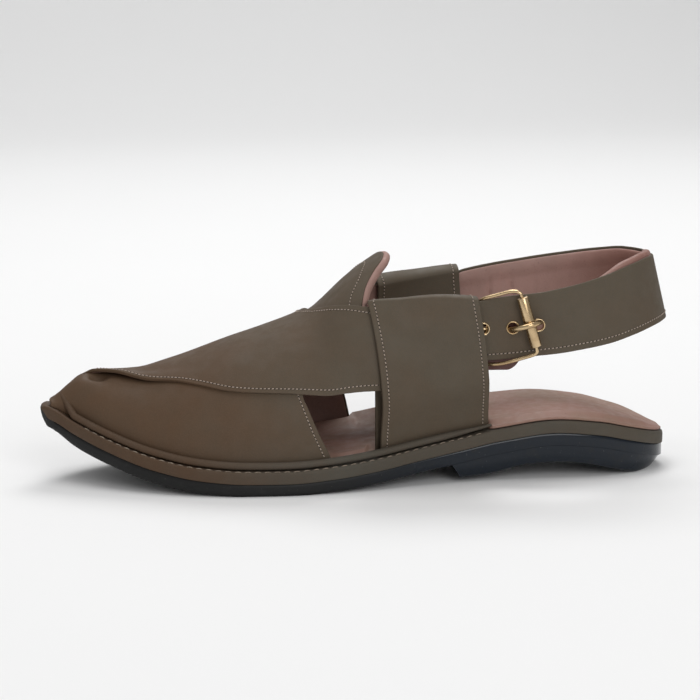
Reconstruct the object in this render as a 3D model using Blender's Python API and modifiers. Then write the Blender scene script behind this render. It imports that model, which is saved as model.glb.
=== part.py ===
"""A left peshawari chappal: crossed front straps, a tongue, looped side straps and a buckled heel strap.

The toe points to -X, the outer side of the foot faces -Y and +Z is up. The origin is on the floor,
in the middle of the shoe's length and width. Sizes are in millimetres and are turned to metres by MM.
"Along" is a distance from the toe tip. "Turn" is the angle round a section of the last, in degrees:
0 at the outer feather edge, 90 at the crown and 180 at the inner feather edge.
"""

import math

import bmesh
import bpy
from mathutils import Vector

MM = 0.001
GAP = 0.3

SOLE_LENGTH = 292.3
OVERALL_LENGTH = 292.7
TOE_ROUND = 5.0
HEEL_ROUND_FROM = 245.0

MIDSOLE_THICK = 5.8
OUTSOLE_THICK = 5.5
WELT_RADIUS = 1.7
WELT_INSET = 3.0
WELT_END = 205.0
WELT_TOE_START = 16.0
WELT_TOE_REACH = 4.5
WELT_TOE_LIFT = 2.0
WELT_TOE_TURN = 70.0
WELT_TOE_POINTS = 8
WELT_TOE_NARROWING = 0.7
INSOLE_RIM = 1.3
INSOLE_PAD = 2.1
INSOLE_EDGE_SHARE = 0.09
INSOLE_END_SHARE = 0.1

UNDER_STRAP_WALL = (0.0, 2.0)
OVER_STRAP_WALL = (0.9, 3.6)
TONGUE_WALL = (-1.2, 1.8)
LIP_LIFT = 2.4
LIP_MIDDLE = 0.34
LIP_SPREAD = 0.09
LIP_DEPTH = 0.22
FRONT_STRAP_CROWDING = 1.3
LAST_START = 5.5

LOOP_LEATHER = 1.8
LOOP_OUTSIDE = 4.6
LOOP_INSIDE = {"outer": -3.5, "inner": -1.9}
LOOP_FOLD_SHARES = (0.42, 0.58)
LOOP_SPREAD_SHARE = 0.3
LOOP_FOLD_HEIGHT = 2.5

HEEL_STRAP_THICK = 2.4
HEEL_STRAP_PADDED = 3.4
HEEL_PADDING_GROWTH = 3.0
HEEL_RING_CENTRE = 92.0
HEEL_RING_LENGTH = 49.8
HEEL_RING_HALF_WIDTH = 37.0
HEEL_STRAP_LEAN = 7.0
HEEL_STRAP_IN_LOOP = 2.0
BUCKLE_HEIGHT = 71.0

WIRE_RADIUS = 0.8
ROLLER_RADIUS = 2.1
ROLLER_BORE = 1.1
PRONG_RADIUS = 0.85
EYELET_HOLE = 2.05
EYELET_BARREL = 2.4
EYELET_FLANGE = 3.2
EYELET_FLANGE_THICK = 0.5
EYELET_SEAT = 0.35
PUNCH_DEPTH = 12.0


def table(columns, *rows):
    """Rows of named columns; the first column is the one that is looked up."""
    return [dict(zip(columns, row)) for row in rows]


# The sole's plan edges and the height of the midsole's top.
SOLE = table(
    ("along", "outer", "inner", "seat"),
    (0, -1.0, 7.0, 34.0),
    (4, -4.2, 10.6, 35.0),
    (8, -7.0, 14.0, 33.7),
    (15, -13.0, 20.0, 29.8),
    (30, -25.0, 31.0, 23.3),
    (50, -36.5, 40.5, 16.6),
    (70, -44.5, 46.5, 12.9),
    (90, -48.6, 49.5, 11.5),
    (110, -49.5, 49.0, 11.3),
    (130, -47.5, 45.5, 12.3),
    (150, -43.5, 40.0, 14.4),
    (170, -38.0, 35.0, 17.5),
    (190, -34.0, 31.5, 20.8),
    (210, -32.0, 30.0, 24.5),
    (235, -32.0, 31.0, 27.4),
    (255, -31.5, 31.0, 25.6),
    (270, -31.0, 31.0, 22.1),
    (292, -31.0, 31.0, 16.0),
)

# The underside of the heel: an arched tread that meets the floor at its rear.
HEEL_TREAD = table(
    ("along", "height"),
    (190, 2.2),
    (203, 3.1),
    (223, 7.0),
    (236, 7.6),
    (248, 6.6),
    (260, 3.9),
    (270, 1.3),
    (277, 0.0),
    (292, 0.0),
)
HEEL_FRONT = {"top": 186.4, "bottom": 190.6}
HEEL_REAR = {"top": 291.6, "bottom": 288.4}

# The distance from the sole's edge to the feather line, where the straps go down under the last.
FEATHER = table(
    ("along", "outer", "inner"),
    (5, 3.2, 3.6),
    (10, 5.6, 7.0),
    (16, 7.3, 9.0),
    (290, 7.3, 9.0),
)

# Sections of the last: the crown's height, how far the sides swell past the feather edge, and how
# square the arch is (2 is an ellipse).
LAST = table(
    ("along", "crown", "swell", "square"),
    (5.5, 35.4, 0.1, 2.0),
    (8.5, 35.6, 0.3, 2.0),
    (11.5, 36.8, 0.4, 2.0),
    (14, 39.4, 0.4, 2.0),
    (17, 42.0, 0.5, 2.0),
    (20, 44.1, 0.6, 2.0),
    (23, 45.8, 0.7, 2.0),
    (26, 46.9, 0.8, 2.0),
    (36, 47.0, 1.0, 2.0),
    (46, 47.3, 1.2, 2.1),
    (62, 51.3, 1.5, 2.1),
    (91, 61.3, 2.0, 2.15),
    (106, 66.2, 2.2, 2.2),
    (121, 71.8, 2.8, 2.25),
    (128.5, 76.0, 3.4, 2.3),
    (136, 83.0, 4.2, 2.4),
    (143, 89.7, 5.0, 2.45),
    (151, 96.0, 6.0, 2.5),
    (160, 101.7, 7.5, 2.6),
    (175, 110.0, 9.6, 2.7),
    (200, 121.0, 12.5, 2.8),
    (225, 129.0, 13.5, 2.8),
)

# Each front strap lies between a front edge and a rear edge, both read at the same share of its way
# from the sole to its end under a side strap.
UNDER_STRAP = table(
    ("share", "front", "front_turn", "rear", "rear_turn"),
    (0.00, 5.8, 0, 130.3, 0),
    (0.06, 5.8, 45, 124.2, 11),
    (0.13, 6.4, 100, 119.5, 23),
    (0.20, 13, 130, 117.3, 31),
    (0.36, 40, 128, 117.5, 60),
    (0.46, 54, 126, 122.5, 83),
    (0.56, 70, 130, 129.5, 98),
    (0.68, 92, 140, 138, 114),
    (0.80, 121, 150, 147, 124),
    (0.90, 146, 158, 158, 132),
    (1.00, 174, 166, 174, 141),
)
OVER_STRAP = table(
    ("share", "front", "front_turn", "rear", "rear_turn"),
    (0.00, 17.0, 180, 148.4, 180),
    (0.08, 17.5, 124, 143.6, 166),
    (0.15, 19.5, 98, 138, 148),
    (0.22, 24.5, 85, 131, 122),
    (0.30, 33, 70, 123.6, 96),
    (0.38, 41.5, 61.5, 126, 89),
    (0.48, 61, 54, 131, 79),
    (0.60, 86, 41.7, 137.5, 67),
    (0.74, 117, 30.7, 144.5, 57),
    (0.86, 142, 21, 152, 49.5),
    (1.00, 172, 13, 172, 38.5),
)

# The tongue's rear edge, from beside the outer side strap over the crown to the inner side.
TONGUE_REAR = table(
    ("turn", "along"),
    (53, 146.6),
    (60, 148.6),
    (66, 150.5),
    (74, 155.0),
    (82, 160.3),
    (90, 162.0),
    (98, 160.3),
    (106, 155.0),
    (114, 150.5),
    (120, 148.6),
    (127, 146.6),
)
TONGUE_START = 112.0

# The side straps' front and rear edges at the sole and at the top.
SIDE_STRAPS = {
    "outer": {
        "front_foot": 150.7,
        "front_top": 149.2,
        "rear_foot": 203.6,
        "rear_top": 197.2,
        "foot_offset": 0.1,
    },
    "inner": {
        "front_foot": 163.0,
        "front_top": 160.0,
        "rear_foot": 203.6,
        "rear_top": 199.4,
        "foot_offset": 1.8,
    },
}
SIDE_STRAP_TOP = table(
    ("along", "outer", "inner"),
    (149, 53.0, 53.0),
    (163, 45.0, 46.2),
    (180, 38.3, 40.0),
    (200, 30.4, 34.9),
)

# The heel strap's lower and upper edges, from its outer end round the heel to its inner end. "Way"
# is -1 at the outer end, 0 at the back of the heel and 1 at the inner end.
HEEL_STRAP = table(
    ("way", "low", "high"),
    (-1.00, 56.4, 80.0),
    (-0.80, 56.7, 82.0),
    (-0.65, 58.9, 85.8),
    (-0.59, 59.8, 89.4),
    (-0.53, 61.0, 91.4),
    (-0.41, 63.6, 95.6),
    (-0.31, 66.6, 98.7),
    (-0.20, 69.3, 100.3),
    (-0.10, 70.4, 100.1),
    (0.00, 70.2, 99.6),
    (0.10, 69.6, 100.1),
    (0.22, 67.6, 100.0),
    (0.35, 64.8, 98.1),
    (0.48, 62.0, 95.4),
    (0.61, 59.5, 92.9),
    (0.75, 57.2, 90.7),
    (0.82, 56.8, 88.9),
    (0.87, 56.6, 85.0),
    (1.00, 56.4, 82.0),
)
HEEL_STRAP_INNER_END = 30.0
RING_SHARE = 0.56

# The insole's distance from the sole's edge, closer in where a strap stands beside it.
INSOLE_INSET = table(
    ("along", "outer", "inner"),
    (0, 8.2, 9.9),
    (135, 8.2, 9.9),
    (149, 13.6, 9.9),
    (151, 13.6, 9.9),
    (161, 13.6, 13.4),
    (208, 13.6, 13.4),
    (219, 1.4, 1.4),
    (290, 1.4, 1.4),
)
INSOLE_ENDS = (12.5, 290.8)

# The buckle's frame round the heel strap: "out" is the distance from the strap's outer face.
BUCKLE_FRAME = table(
    ("x", "z", "out"),
    (70.5, 87.6, 3.2),
    (77.9, 62.5, 3.2),
    (77.8, 61.2, 3.2),
    (77.0, 60.2, 3.1),
    (75.3, 59.5, 2.9),
    (69.7, 57.6, 2.0),
    (65.6, 56.2, 1.4),
    (62.4, 55.3, 0.6),
    (59.2, 54.8, -0.7),
    (56.5, 54.7, -1.9),
    (53.6, 54.9, -2.9),
    (52.2, 55.6, -3.4),
    (51.6, 57.2, -3.5),
    (51.2, 80.8, -3.5),
    (51.6, 82.6, -3.2),
    (52.6, 84.4, -2.2),
    (54.4, 85.7, -1.0),
    (59.6, 87.2, 0.8),
    (64.0, 88.6, 2.0),
    (66.4, 89.1, 2.6),
    (68.6, 89.0, 3.1),
    (69.9, 88.4, 3.2),
)
ROLLER_SHARE = (0.05, 0.95)
PRONG = table(
    ("x", "z", "out"),
    (53.2, 71.0, -3.6),
    (59.0, 71.2, -3.65),
    (63.4, 71.5, -3.6),
    (65.4, 71.7, -3.5),
    (66.4, 71.8, -2.7),
    (66.9, 71.9, -1.2),
    (67.2, 72.0, 0.6),
    (67.7, 72.2, 2.4),
    (68.7, 72.7, 4.4),
    (70.4, 73.4, 6.0),
    (73.2, 74.2, 6.7),
    (76.0, 74.8, 6.1),
    (78.0, 75.0, 4.8),
    (79.5, 75.0, 3.2),
)
EYELETS = table(("x", "z"), (54.4, 71.7), (66.9, 72.0), (79.0, 73.1))
BUCKLE_TAB = {"front": 40.0, "rear": 70.5, "low": 51.4, "high": 80.0, "out": -4.8, "thick": 1.5}
TAB_ROUND_SHARE = 0.55
TAB_END_SHARE = 0.35


def value(rows, column, at):
    """A column read at any place by a smooth curve that never overshoots its rows."""
    key = next(iter(rows[0]))
    xs = [row[key] for row in rows]
    ys = [row[column] for row in rows]
    if at <= xs[0]:
        return ys[0]
    if at >= xs[-1]:
        return ys[-1]
    spans = len(xs) - 1
    rise = [(ys[i + 1] - ys[i]) / (xs[i + 1] - xs[i]) for i in range(spans)]
    inner = [
        0.0 if rise[i - 1] * rise[i] <= 0 else 2 * rise[i - 1] * rise[i] / (rise[i - 1] + rise[i])
        for i in range(1, spans)
    ]
    slope = [rise[0], *inner, rise[-1]]
    i = max(k for k in range(spans) if xs[k] <= at)
    step = xs[i + 1] - xs[i]
    t = (at - xs[i]) / step
    start = (1 + 2 * t) * (1 - t) ** 2 * ys[i] + t * (1 - t) ** 2 * step * slope[i]
    end = t * t * (3 - 2 * t) * ys[i + 1] + t * t * (t - 1) * step * slope[i + 1]
    return start + end


def mix(a, b, share):
    return a + (b - a) * share


def ease(share):
    share = min(max(share, 0.0), 1.0)
    return share * share * (3 - 2 * share)


def to_x(along):
    return along - OVERALL_LENGTH / 2


def to_along(x):
    return x + OVERALL_LENGTH / 2


# The sole's plan


def end_round(along):
    """The share of the table's width that is left where the toe tip and the heel are rounded."""
    if along < TOE_ROUND:
        return max(0.25, math.sqrt(max(0.0, 1 - (1 - along / TOE_ROUND) ** 2)))
    if along > HEEL_ROUND_FROM:
        reach = (along - HEEL_ROUND_FROM) / (SOLE_LENGTH - HEEL_ROUND_FROM)
        return max(0.1, math.sqrt(max(0.0, 1 - reach**2.3)))
    return 1.0


def sole_edge(along, side):
    outer, inner = value(SOLE, "outer", along), value(SOLE, "inner", along)
    half = (inner - outer) / 2 * end_round(along)
    return (outer + inner) / 2 + (half if side == "inner" else -half)


def seat(along):
    return value(SOLE, "seat", along)


def inset_edge(along, side, inset):
    """The sole's edge moved inwards by a distance square to the edge."""
    slope = (sole_edge(along + 1, side) - sole_edge(along - 1, side)) / 2
    shift = inset * math.sqrt(1 + min(slope * slope, 4.0))
    return sole_edge(along, side) + (shift if side == "outer" else -shift)


def across(along, share, inset_outer, inset_inner):
    """A point of the plan, from the outer edge (0) to the inner edge (1)."""
    outer = inset_edge(along, "outer", inset_outer)
    inner = inset_edge(along, "inner", inset_inner)
    middle = (outer + inner) / 2
    half = max((inner - outer) / 2, 0.8)
    return middle + half * (2 * share - 1)


# The last, which the straps are wrapped round


def last_point(along, turn):
    outer = inset_edge(along, "outer", value(FEATHER, "outer", along))
    inner = inset_edge(along, "inner", value(FEATHER, "inner", along))
    half = max((inner - outer) / 2, 0.8)
    power = 2 / value(LAST, "square", along)
    swell = value(LAST, "swell", along)
    floor = seat(along) + GAP
    cosine, sine = math.cos(math.radians(turn)), abs(math.sin(math.radians(turn)))
    reach = (half + swell) * abs(cosine) ** power - swell * (1 - sine) ** 3
    y = (outer + inner) / 2 + (-reach if cosine > 0 else reach)
    return Vector((to_x(along), y, floor + (value(LAST, "crown", along) - floor) * sine**power))


def last_frame(along, turn):
    """A point of the last, its outward normal, and the direction of a rising turn."""
    along_step = last_point(along + 0.2, turn) - last_point(max(along - 0.2, LAST_START), turn)
    turn_step = last_point(along, min(turn + 1, 180)) - last_point(along, max(turn - 1, 0))
    normal = along_step.cross(turn_step).normalized()
    return last_point(along, turn), normal, turn_step.normalized()


def above_seat(point):
    """A point of the upper kept clear of the midsole's top."""
    point.z = max(point.z, seat(to_along(point.x)) + GAP)
    return point


def last_offset(along, turn, offset):
    point, normal, _ = last_frame(along, turn)
    return above_seat(point + normal * offset)


def side_offset_y(x, z, side, offset):
    """The width of the last beside a height, found by halving the turn."""
    low, high = (0.0, 90.0) if side == "outer" else (180.0, 90.0)
    for _ in range(24):
        middle = (low + high) / 2
        if last_offset(to_along(x), middle, offset).z < z:
            low = middle
        else:
            high = middle
    return last_offset(to_along(x), low, offset).y


# Building


def make_material(name, color, roughness, metallic=0.0):
    material = bpy.data.materials.new(name)
    material.use_nodes = True
    shader = material.node_tree.nodes["Principled BSDF"]
    shader.inputs["Base Color"].default_value = (*color, 1.0)
    shader.inputs["Roughness"].default_value = roughness
    shader.inputs["Metallic"].default_value = metallic
    material.diffuse_color = (*color, 1.0)
    return material


def add_object(name, data, material, collection):
    item = bpy.data.objects.new(name, data)
    data.materials.append(material)
    collection.objects.link(item)
    return item


def sheet(name, columns, rows, inner, outer, material, collection):
    """A closed wall: a flat grid of shares, with one face moved by inner(u, v) and one by outer(u, v)."""
    form = bmesh.new()
    bmesh.ops.create_grid(form, x_segments=columns, y_segments=rows, size=0.5)
    shares = {vert: (vert.co.x + 0.5, vert.co.y + 0.5) for vert in form.verts}
    grown = bmesh.ops.extrude_face_region(form, geom=form.faces[:], use_keep_orig=True)["geom"]
    copies = [item for item in grown if isinstance(item, bmesh.types.BMVert)]
    for vert in copies:
        u, v = vert.co.x + 0.5, vert.co.y + 0.5
        vert.co = outer(u, v) * MM
    for vert, (u, v) in shares.items():
        vert.co = inner(u, v) * MM
    bmesh.ops.triangulate(form, faces=form.faces[:], quad_method="SHORT_EDGE")
    bmesh.ops.recalc_face_normals(form, faces=form.faces[:])
    mesh = bpy.data.meshes.new(name)
    form.to_mesh(mesh)
    form.free()
    mesh.shade_smooth()
    mesh.set_sharp_from_angle(angle=math.radians(40))
    return add_object(name, mesh, material, collection)


def wire(name, points, radius, material, collection, resolution=2, closed=False, radii=None):
    """A round wire along points, with filled caps."""
    curve = bpy.data.curves.new(name, "CURVE")
    curve.dimensions = "3D"
    curve.bevel_depth = radius * MM
    curve.bevel_resolution = resolution
    curve.use_fill_caps = not closed
    spline = curve.splines.new("POLY")
    spline.points.add(len(points) - 1)
    for i, point in enumerate(points):
        spline.points[i].co = (*(point * MM), 1.0)
        spline.points[i].radius = radii[i] if radii else 1.0
    spline.use_cyclic_u = closed
    return add_object(name, curve, material, collection)


def boolean(target, operation, tool):
    modifier = target.modifiers.new(operation.title(), "BOOLEAN")
    modifier.operation = operation
    modifier.object = tool
    tool.hide_render = True
    tool.display_type = "WIRE"


# The sole


def sole_along(u, start=0.0, end=SOLE_LENGTH, crowding=1.0):
    """Sections that crowd together at the pointed toe and at the round heel."""
    return start + (end - start) * mix(u, (1 - math.cos(math.pi * u)) / 2, crowding)


def build_midsole(material, collection):
    def face(depth, inset):
        def place(u, v):
            along = sole_along(u)
            return Vector((to_x(along), across(along, v, inset, inset), seat(along) - depth))

        return place

    return sheet("midsole", 38, 3, face(MIDSOLE_THICK, 0.3), face(0.0, 0.0), material, collection)


def tread_height(along):
    return max(0.0, seat(along) - MIDSOLE_THICK - GAP - OUTSOLE_THICK)


def build_outsole(material, collection):
    def top(u, v):
        along = sole_along(u, 0.6, SOLE_LENGTH - 0.4)
        z = seat(along) - MIDSOLE_THICK - GAP
        return Vector((to_x(along), across(along, v, 0.5, 0.5), z))

    def bottom(u, v):
        along = sole_along(u, 1.4, SOLE_LENGTH - 0.9)
        return Vector((to_x(along), across(along, v, 1.2, 1.2), tread_height(along)))

    return sheet("outsole", 38, 3, bottom, top, material, collection)


def build_heel(material, collection):
    def face(end, inset, height):
        def place(u, v):
            along = mix(HEEL_FRONT[end], HEEL_REAR[end], math.sin(math.pi * u / 2))
            return Vector((to_x(along), across(along, v, inset, inset), height(along)))

        return place

    top = face("top", 1.1, lambda along: tread_height(along) - GAP)
    bottom = face("bottom", 2.2, lambda along: value(HEEL_TREAD, "height", along))
    return sheet("heel", 18, 3, bottom, top, material, collection)


def build_insole(material, collection):
    def place(rise):
        def at(u, v):
            along = sole_along(u, *INSOLE_ENDS, crowding=0.5)
            share = narrow_ends(v, 6, 0.06)
            outer = value(INSOLE_INSET, "outer", along)
            inner = value(INSOLE_INSET, "inner", along)
            y = across(along, share, outer, inner)
            return Vector((to_x(along), y, seat(along) + GAP + rise(u, share)))

        return at

    def padded(u, share):
        edge = min(share, 1 - share) / INSOLE_EDGE_SHARE
        end = min(u, 1 - u) / INSOLE_END_SHARE
        return INSOLE_RIM + INSOLE_PAD * ease(edge) * ease(end)

    return sheet("insole", 56, 6, place(lambda u, share: 0.0), place(padded), material, collection)


def narrow_ends(v, rows, edge):
    """A grid's shares with one narrow row beside each edge."""
    if v <= 0.0 or v >= 1.0:
        return v
    return edge + (1 - 2 * edge) * (v * rows - 1) / (rows - 2)


def welt_path():
    """The raised welt: beside the upper at the sole's edge, and up over the front of the toe."""
    count = 28
    alongs = [mix(WELT_TOE_START, WELT_END, (i / count) ** 1.6) for i in range(count, -1, -1)]
    edges = [("outer", along) for along in alongs] + [("inner", along) for along in reversed(alongs)]
    path = []
    for side, along in edges:
        y = inset_edge(along, side, WELT_INSET)
        path.append(Vector((to_x(along), y, seat(along) + GAP + WELT_RADIUS * 1.12)))
    over_toe = []
    for i in range(1, WELT_TOE_POINTS):
        swing = math.pi * i / WELT_TOE_POINTS
        along = WELT_TOE_START - WELT_TOE_REACH * math.sin(swing)
        turn = 90 - WELT_TOE_TURN * math.cos(swing)
        radius = WELT_RADIUS * mix(1.0, WELT_TOE_NARROWING, math.sin(swing))
        over_toe.append(last_offset(along, turn, UNDER_STRAP_WALL[1] + radius + WELT_TOE_LIFT))
    middle = len(alongs)
    return path[:middle] + over_toe + path[middle:]


def build_welt(material, collection):
    path = welt_path()
    last = len(path) - 1
    toe = last / 2
    radii = []
    for i in range(last + 1):
        narrowing = mix(WELT_TOE_NARROWING, 1.0, ease(abs(i - toe) / (WELT_TOE_POINTS / 2)))
        radii.append(narrowing * mix(0.35, 1.0, ease(min(i, last - i) / 2.0)))
    return wire("welt", path, WELT_RADIUS, material, collection, radii=radii)


# The upper


def strap_place(rows, wall, lift=None):
    """A front strap's wall at one offset from the last."""

    def at(u, v):
        share = u**FRONT_STRAP_CROWDING
        along = mix(value(rows, "front", share), value(rows, "rear", share), v)
        turn = mix(value(rows, "front_turn", share), value(rows, "rear_turn", share), v)
        extra = lift(share, v) if lift else 0.0
        return last_offset(along, turn, wall + extra)

    return at


def lip_lift(share, v):
    """The over strap's front edge stands off the toe in a shallow lip."""
    nearness = math.exp(-(((share - LIP_MIDDLE) / LIP_SPREAD) ** 2))
    return LIP_LIFT * nearness * (1 - ease(v / LIP_DEPTH))


def tongue_place(wall):
    def at(u, v):
        turn = mix(53, 127, v)
        along = mix(TONGUE_START, value(TONGUE_REAR, "along", turn), u)
        return last_offset(along, turn, wall)

    return at


def build_upper(material, collection, cutters):
    under_in, under_out = (strap_place(UNDER_STRAP, wall) for wall in UNDER_STRAP_WALL)
    over_in, over_out = (strap_place(OVER_STRAP, wall, lip_lift) for wall in OVER_STRAP_WALL)
    tongue_in, tongue_out = (tongue_place(wall) for wall in TONGUE_WALL)
    upper = sheet("upper", 26, 11, under_in, under_out, material, collection)
    over = sheet("over_strap_form", 30, 12, over_in, over_out, material, cutters)
    tongue = sheet("tongue_form", 7, 12, tongue_in, tongue_out, material, cutters)
    boolean(upper, "UNION", over)
    boolean(upper, "UNION", tongue)
    return upper


def side_strap_place(side, exposed):
    """A side strap: a band that rises outside the foot, folds over and comes down inside it."""
    strap = SIDE_STRAPS[side]
    skin = LOOP_LEATHER if exposed else 0.0
    outside, inside = LOOP_OUTSIDE + skin, LOOP_INSIDE[side] - skin
    foot = strap["foot_offset"] + skin
    fold = LOOP_FOLD_HEIGHT if exposed else LOOP_FOLD_HEIGHT - LOOP_LEATHER + GAP
    fold_start, fold_end = LOOP_FOLD_SHARES

    def at(u, v):
        rise = min(min(v, 1 - v) / fold_start, 1.0)
        front = mix(strap["front_foot"], strap["front_top"], rise)
        rear = mix(strap["rear_foot"], strap["rear_top"], rise)
        along = mix(front, rear, u)
        turn = value(SIDE_STRAP_TOP, side, along) * rise
        if v <= fold_start:
            offset, lift = mix(foot, outside, ease(rise / LOOP_SPREAD_SHARE)), 0.0
        elif v >= fold_end:
            offset, lift = inside, 0.0
        else:
            swing = math.pi * (v - fold_start) / (fold_end - fold_start)
            offset = (outside + inside) / 2 + (outside - inside) / 2 * math.cos(swing)
            lift = fold * math.sin(swing)
        if side == "inner":
            turn = 180 - turn
        point, normal, upward = last_frame(along, turn)
        if side == "inner":
            upward = -upward
        return above_seat(point + normal * offset + upward * lift)

    return at


def build_side_strap(side, material, collection):
    slot_face = side_strap_place(side, False)
    outer_face = side_strap_place(side, True)
    return sheet(f"side_strap_{side}", 5, 25, slot_face, outer_face, material, collection)


# The heel strap


def heel_strap_middle(way, z=BUCKLE_HEIGHT):
    """The strap's middle surface: a ring round the heel, then ends that lie against the last."""
    if abs(way) < RING_SHARE:
        swing = math.pi / 2 * (1 - abs(way) / RING_SHARE)
        x = HEEL_RING_CENTRE + HEEL_RING_LENGTH * math.sin(swing)
        y = HEEL_RING_HALF_WIDTH * math.cos(swing)
    else:
        share = (abs(way) - RING_SHARE) / (1 - RING_SHARE)
        x = mix(HEEL_RING_CENTRE, HEEL_STRAP_INNER_END, share)
        side = "outer" if way < 0 else "inner"
        beside = abs(side_offset_y(x, z, side, HEEL_STRAP_IN_LOOP))
        y = mix(HEEL_RING_HALF_WIDTH, beside, ease(share / 0.6))
    return Vector((x, -y if way < 0 else y, 0))


def heel_strap_outward(way):
    forward = heel_strap_middle(min(way + 0.005, 1.0)) - heel_strap_middle(max(way - 0.005, -1.0))
    return Vector((forward.y, -forward.x, 0)).normalized()


def heel_strap_point(way, rise, offset):
    """A point of the strap: rise is 0 at its lower edge, offset is outward from its outer face."""
    low, high = value(HEEL_STRAP, "low", way), value(HEEL_STRAP, "high", way)
    lean = HEEL_STRAP_LEAN * ease(1 - abs(way) / RING_SHARE) * (0.5 - rise)
    z = mix(low, high, rise)
    point = heel_strap_middle(way, z) + heel_strap_outward(way) * (lean + offset + HEEL_STRAP_THICK / 2)
    point.z = z
    return point


def heel_strap_padding(way):
    growth = ease((1 - abs(way) / RING_SHARE) * HEEL_PADDING_GROWTH)
    return mix(HEEL_STRAP_THICK, HEEL_STRAP_PADDED, growth)


def strap_way_at(x):
    """The way along the strap's outer stretch at a given x."""
    return -RING_SHARE - (HEEL_RING_CENTRE - x) / (HEEL_RING_CENTRE - HEEL_STRAP_INNER_END) * (1 - RING_SHARE)


def beside_strap(x, z, out):
    """A point at a distance from the outer face of the strap's outer stretch."""
    way = strap_way_at(x)
    point = heel_strap_middle(way, z) + heel_strap_outward(way) * (out + HEEL_STRAP_THICK / 2)
    point.z = z
    return point


def face_strap(item, row):
    """An object turned so that its own Z axis leaves the strap at an eyelet's place."""
    outward = heel_strap_outward(strap_way_at(row["x"]))
    item.rotation_euler = outward.to_track_quat("Z", "Y").to_euler()
    item.location = beside_strap(row["x"], row["z"], 0.0) * MM


def build_heel_strap(material, collection, cutters):
    def face(depth):
        def at(u, v):
            way = 2 * u - 1
            return heel_strap_point(way, v, -depth(way))

        return at

    strap = sheet("heel_strap", 46, 3, face(heel_strap_padding), face(lambda way: 0.0), material, collection)
    for number, row in enumerate(EYELETS, 1):
        bpy.ops.mesh.primitive_cylinder_add(
            vertices=12,
            radius=(EYELET_BARREL + GAP) * MM,
            depth=PUNCH_DEPTH * MM,
        )
        punch = bpy.context.object
        punch.name = f"eyelet_punch_{number}"
        face_strap(punch, row)
        for home in punch.users_collection:
            home.objects.unlink(punch)
        cutters.objects.link(punch)
        boolean(strap, "DIFFERENCE", punch)
    return strap


def build_eyelet(number, row, material, collection):
    """A flanged ring turned about the hole's axis, its flange on the strap's outer face."""
    profile = (
        (EYELET_HOLE, EYELET_SEAT + EYELET_FLANGE_THICK),
        (EYELET_FLANGE, EYELET_SEAT + EYELET_FLANGE_THICK * 0.6),
        (EYELET_FLANGE, EYELET_SEAT),
        (EYELET_BARREL, EYELET_SEAT),
        (EYELET_BARREL, -HEEL_STRAP_THICK),
        (EYELET_HOLE, -HEEL_STRAP_THICK),
    )
    form = bmesh.new()
    ring = [form.verts.new((radius * MM, 0, height * MM)) for radius, height in profile]
    for i, vert in enumerate(ring):
        form.edges.new((vert, ring[(i + 1) % len(ring)]))
    mesh = bpy.data.meshes.new(f"eyelet_{number}")
    form.to_mesh(mesh)
    form.free()
    eyelet = add_object(f"eyelet_{number}", mesh, material, collection)
    turned = eyelet.modifiers.new("Turned", "SCREW")
    turned.steps = turned.render_steps = 14
    turned.use_merge_vertices = True
    turned.merge_threshold = 0.00001
    face_strap(eyelet, row)
    return eyelet


# The buckle


def build_buckle_frame(material, collection):
    path = [beside_strap(row["x"], row["z"], row["out"]) for row in BUCKLE_FRAME]
    return wire("buckle_frame", path, WIRE_RADIUS, material, collection, resolution=1, closed=True)


def build_buckle_roller(material, collection):
    top, bottom = (beside_strap(row["x"], row["z"], row["out"]) for row in BUCKLE_FRAME[:2])
    start, end = (top.lerp(bottom, share) for share in ROLLER_SHARE)
    half = (end - start).length / 2
    form = bmesh.new()
    profile = ((ROLLER_BORE, half), (ROLLER_RADIUS, half), (ROLLER_RADIUS, -half), (ROLLER_BORE, -half))
    ring = [form.verts.new((radius * MM, 0, height * MM)) for radius, height in profile]
    for i, vert in enumerate(ring):
        form.edges.new((vert, ring[(i + 1) % len(ring)]))
    mesh = bpy.data.meshes.new("buckle_roller")
    form.to_mesh(mesh)
    form.free()
    roller = add_object("buckle_roller", mesh, material, collection)
    turned = roller.modifiers.new("Turned", "SCREW")
    turned.steps = turned.render_steps = 16
    turned.use_merge_vertices = True
    turned.merge_threshold = 0.00001
    roller.rotation_mode = "QUATERNION"
    roller.rotation_quaternion = (start - end).to_track_quat("Z", "Y")
    roller.location = (start + end) / 2 * MM
    return roller


def build_buckle_prong(material, collection):
    path = [beside_strap(row["x"], row["z"], row["out"]) for row in PRONG]
    return wire("buckle_prong", path, PRONG_RADIUS, material, collection, resolution=1)


def build_buckle_tab(material, collection):
    """The leather tab behind the buckle, lapped inside the outer side strap, with a round end."""
    tab = BUCKLE_TAB
    half = (tab["high"] - tab["low"]) / 2

    def face(out):
        def at(u, v):
            x = mix(tab["front"], tab["rear"], u)
            round_start = tab["rear"] - half * TAB_ROUND_SHARE
            reach = max(0.0, (x - round_start) / (tab["rear"] - round_start))
            narrow = max(TAB_END_SHARE, math.sqrt(max(0.0, 1 - reach**2)))
            return beside_strap(x, (tab["high"] + tab["low"]) / 2 + half * narrow * (2 * v - 1), out)

        return at

    return sheet("buckle_tab", 8, 4, face(tab["out"] - tab["thick"]), face(tab["out"]), material, collection)


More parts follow.
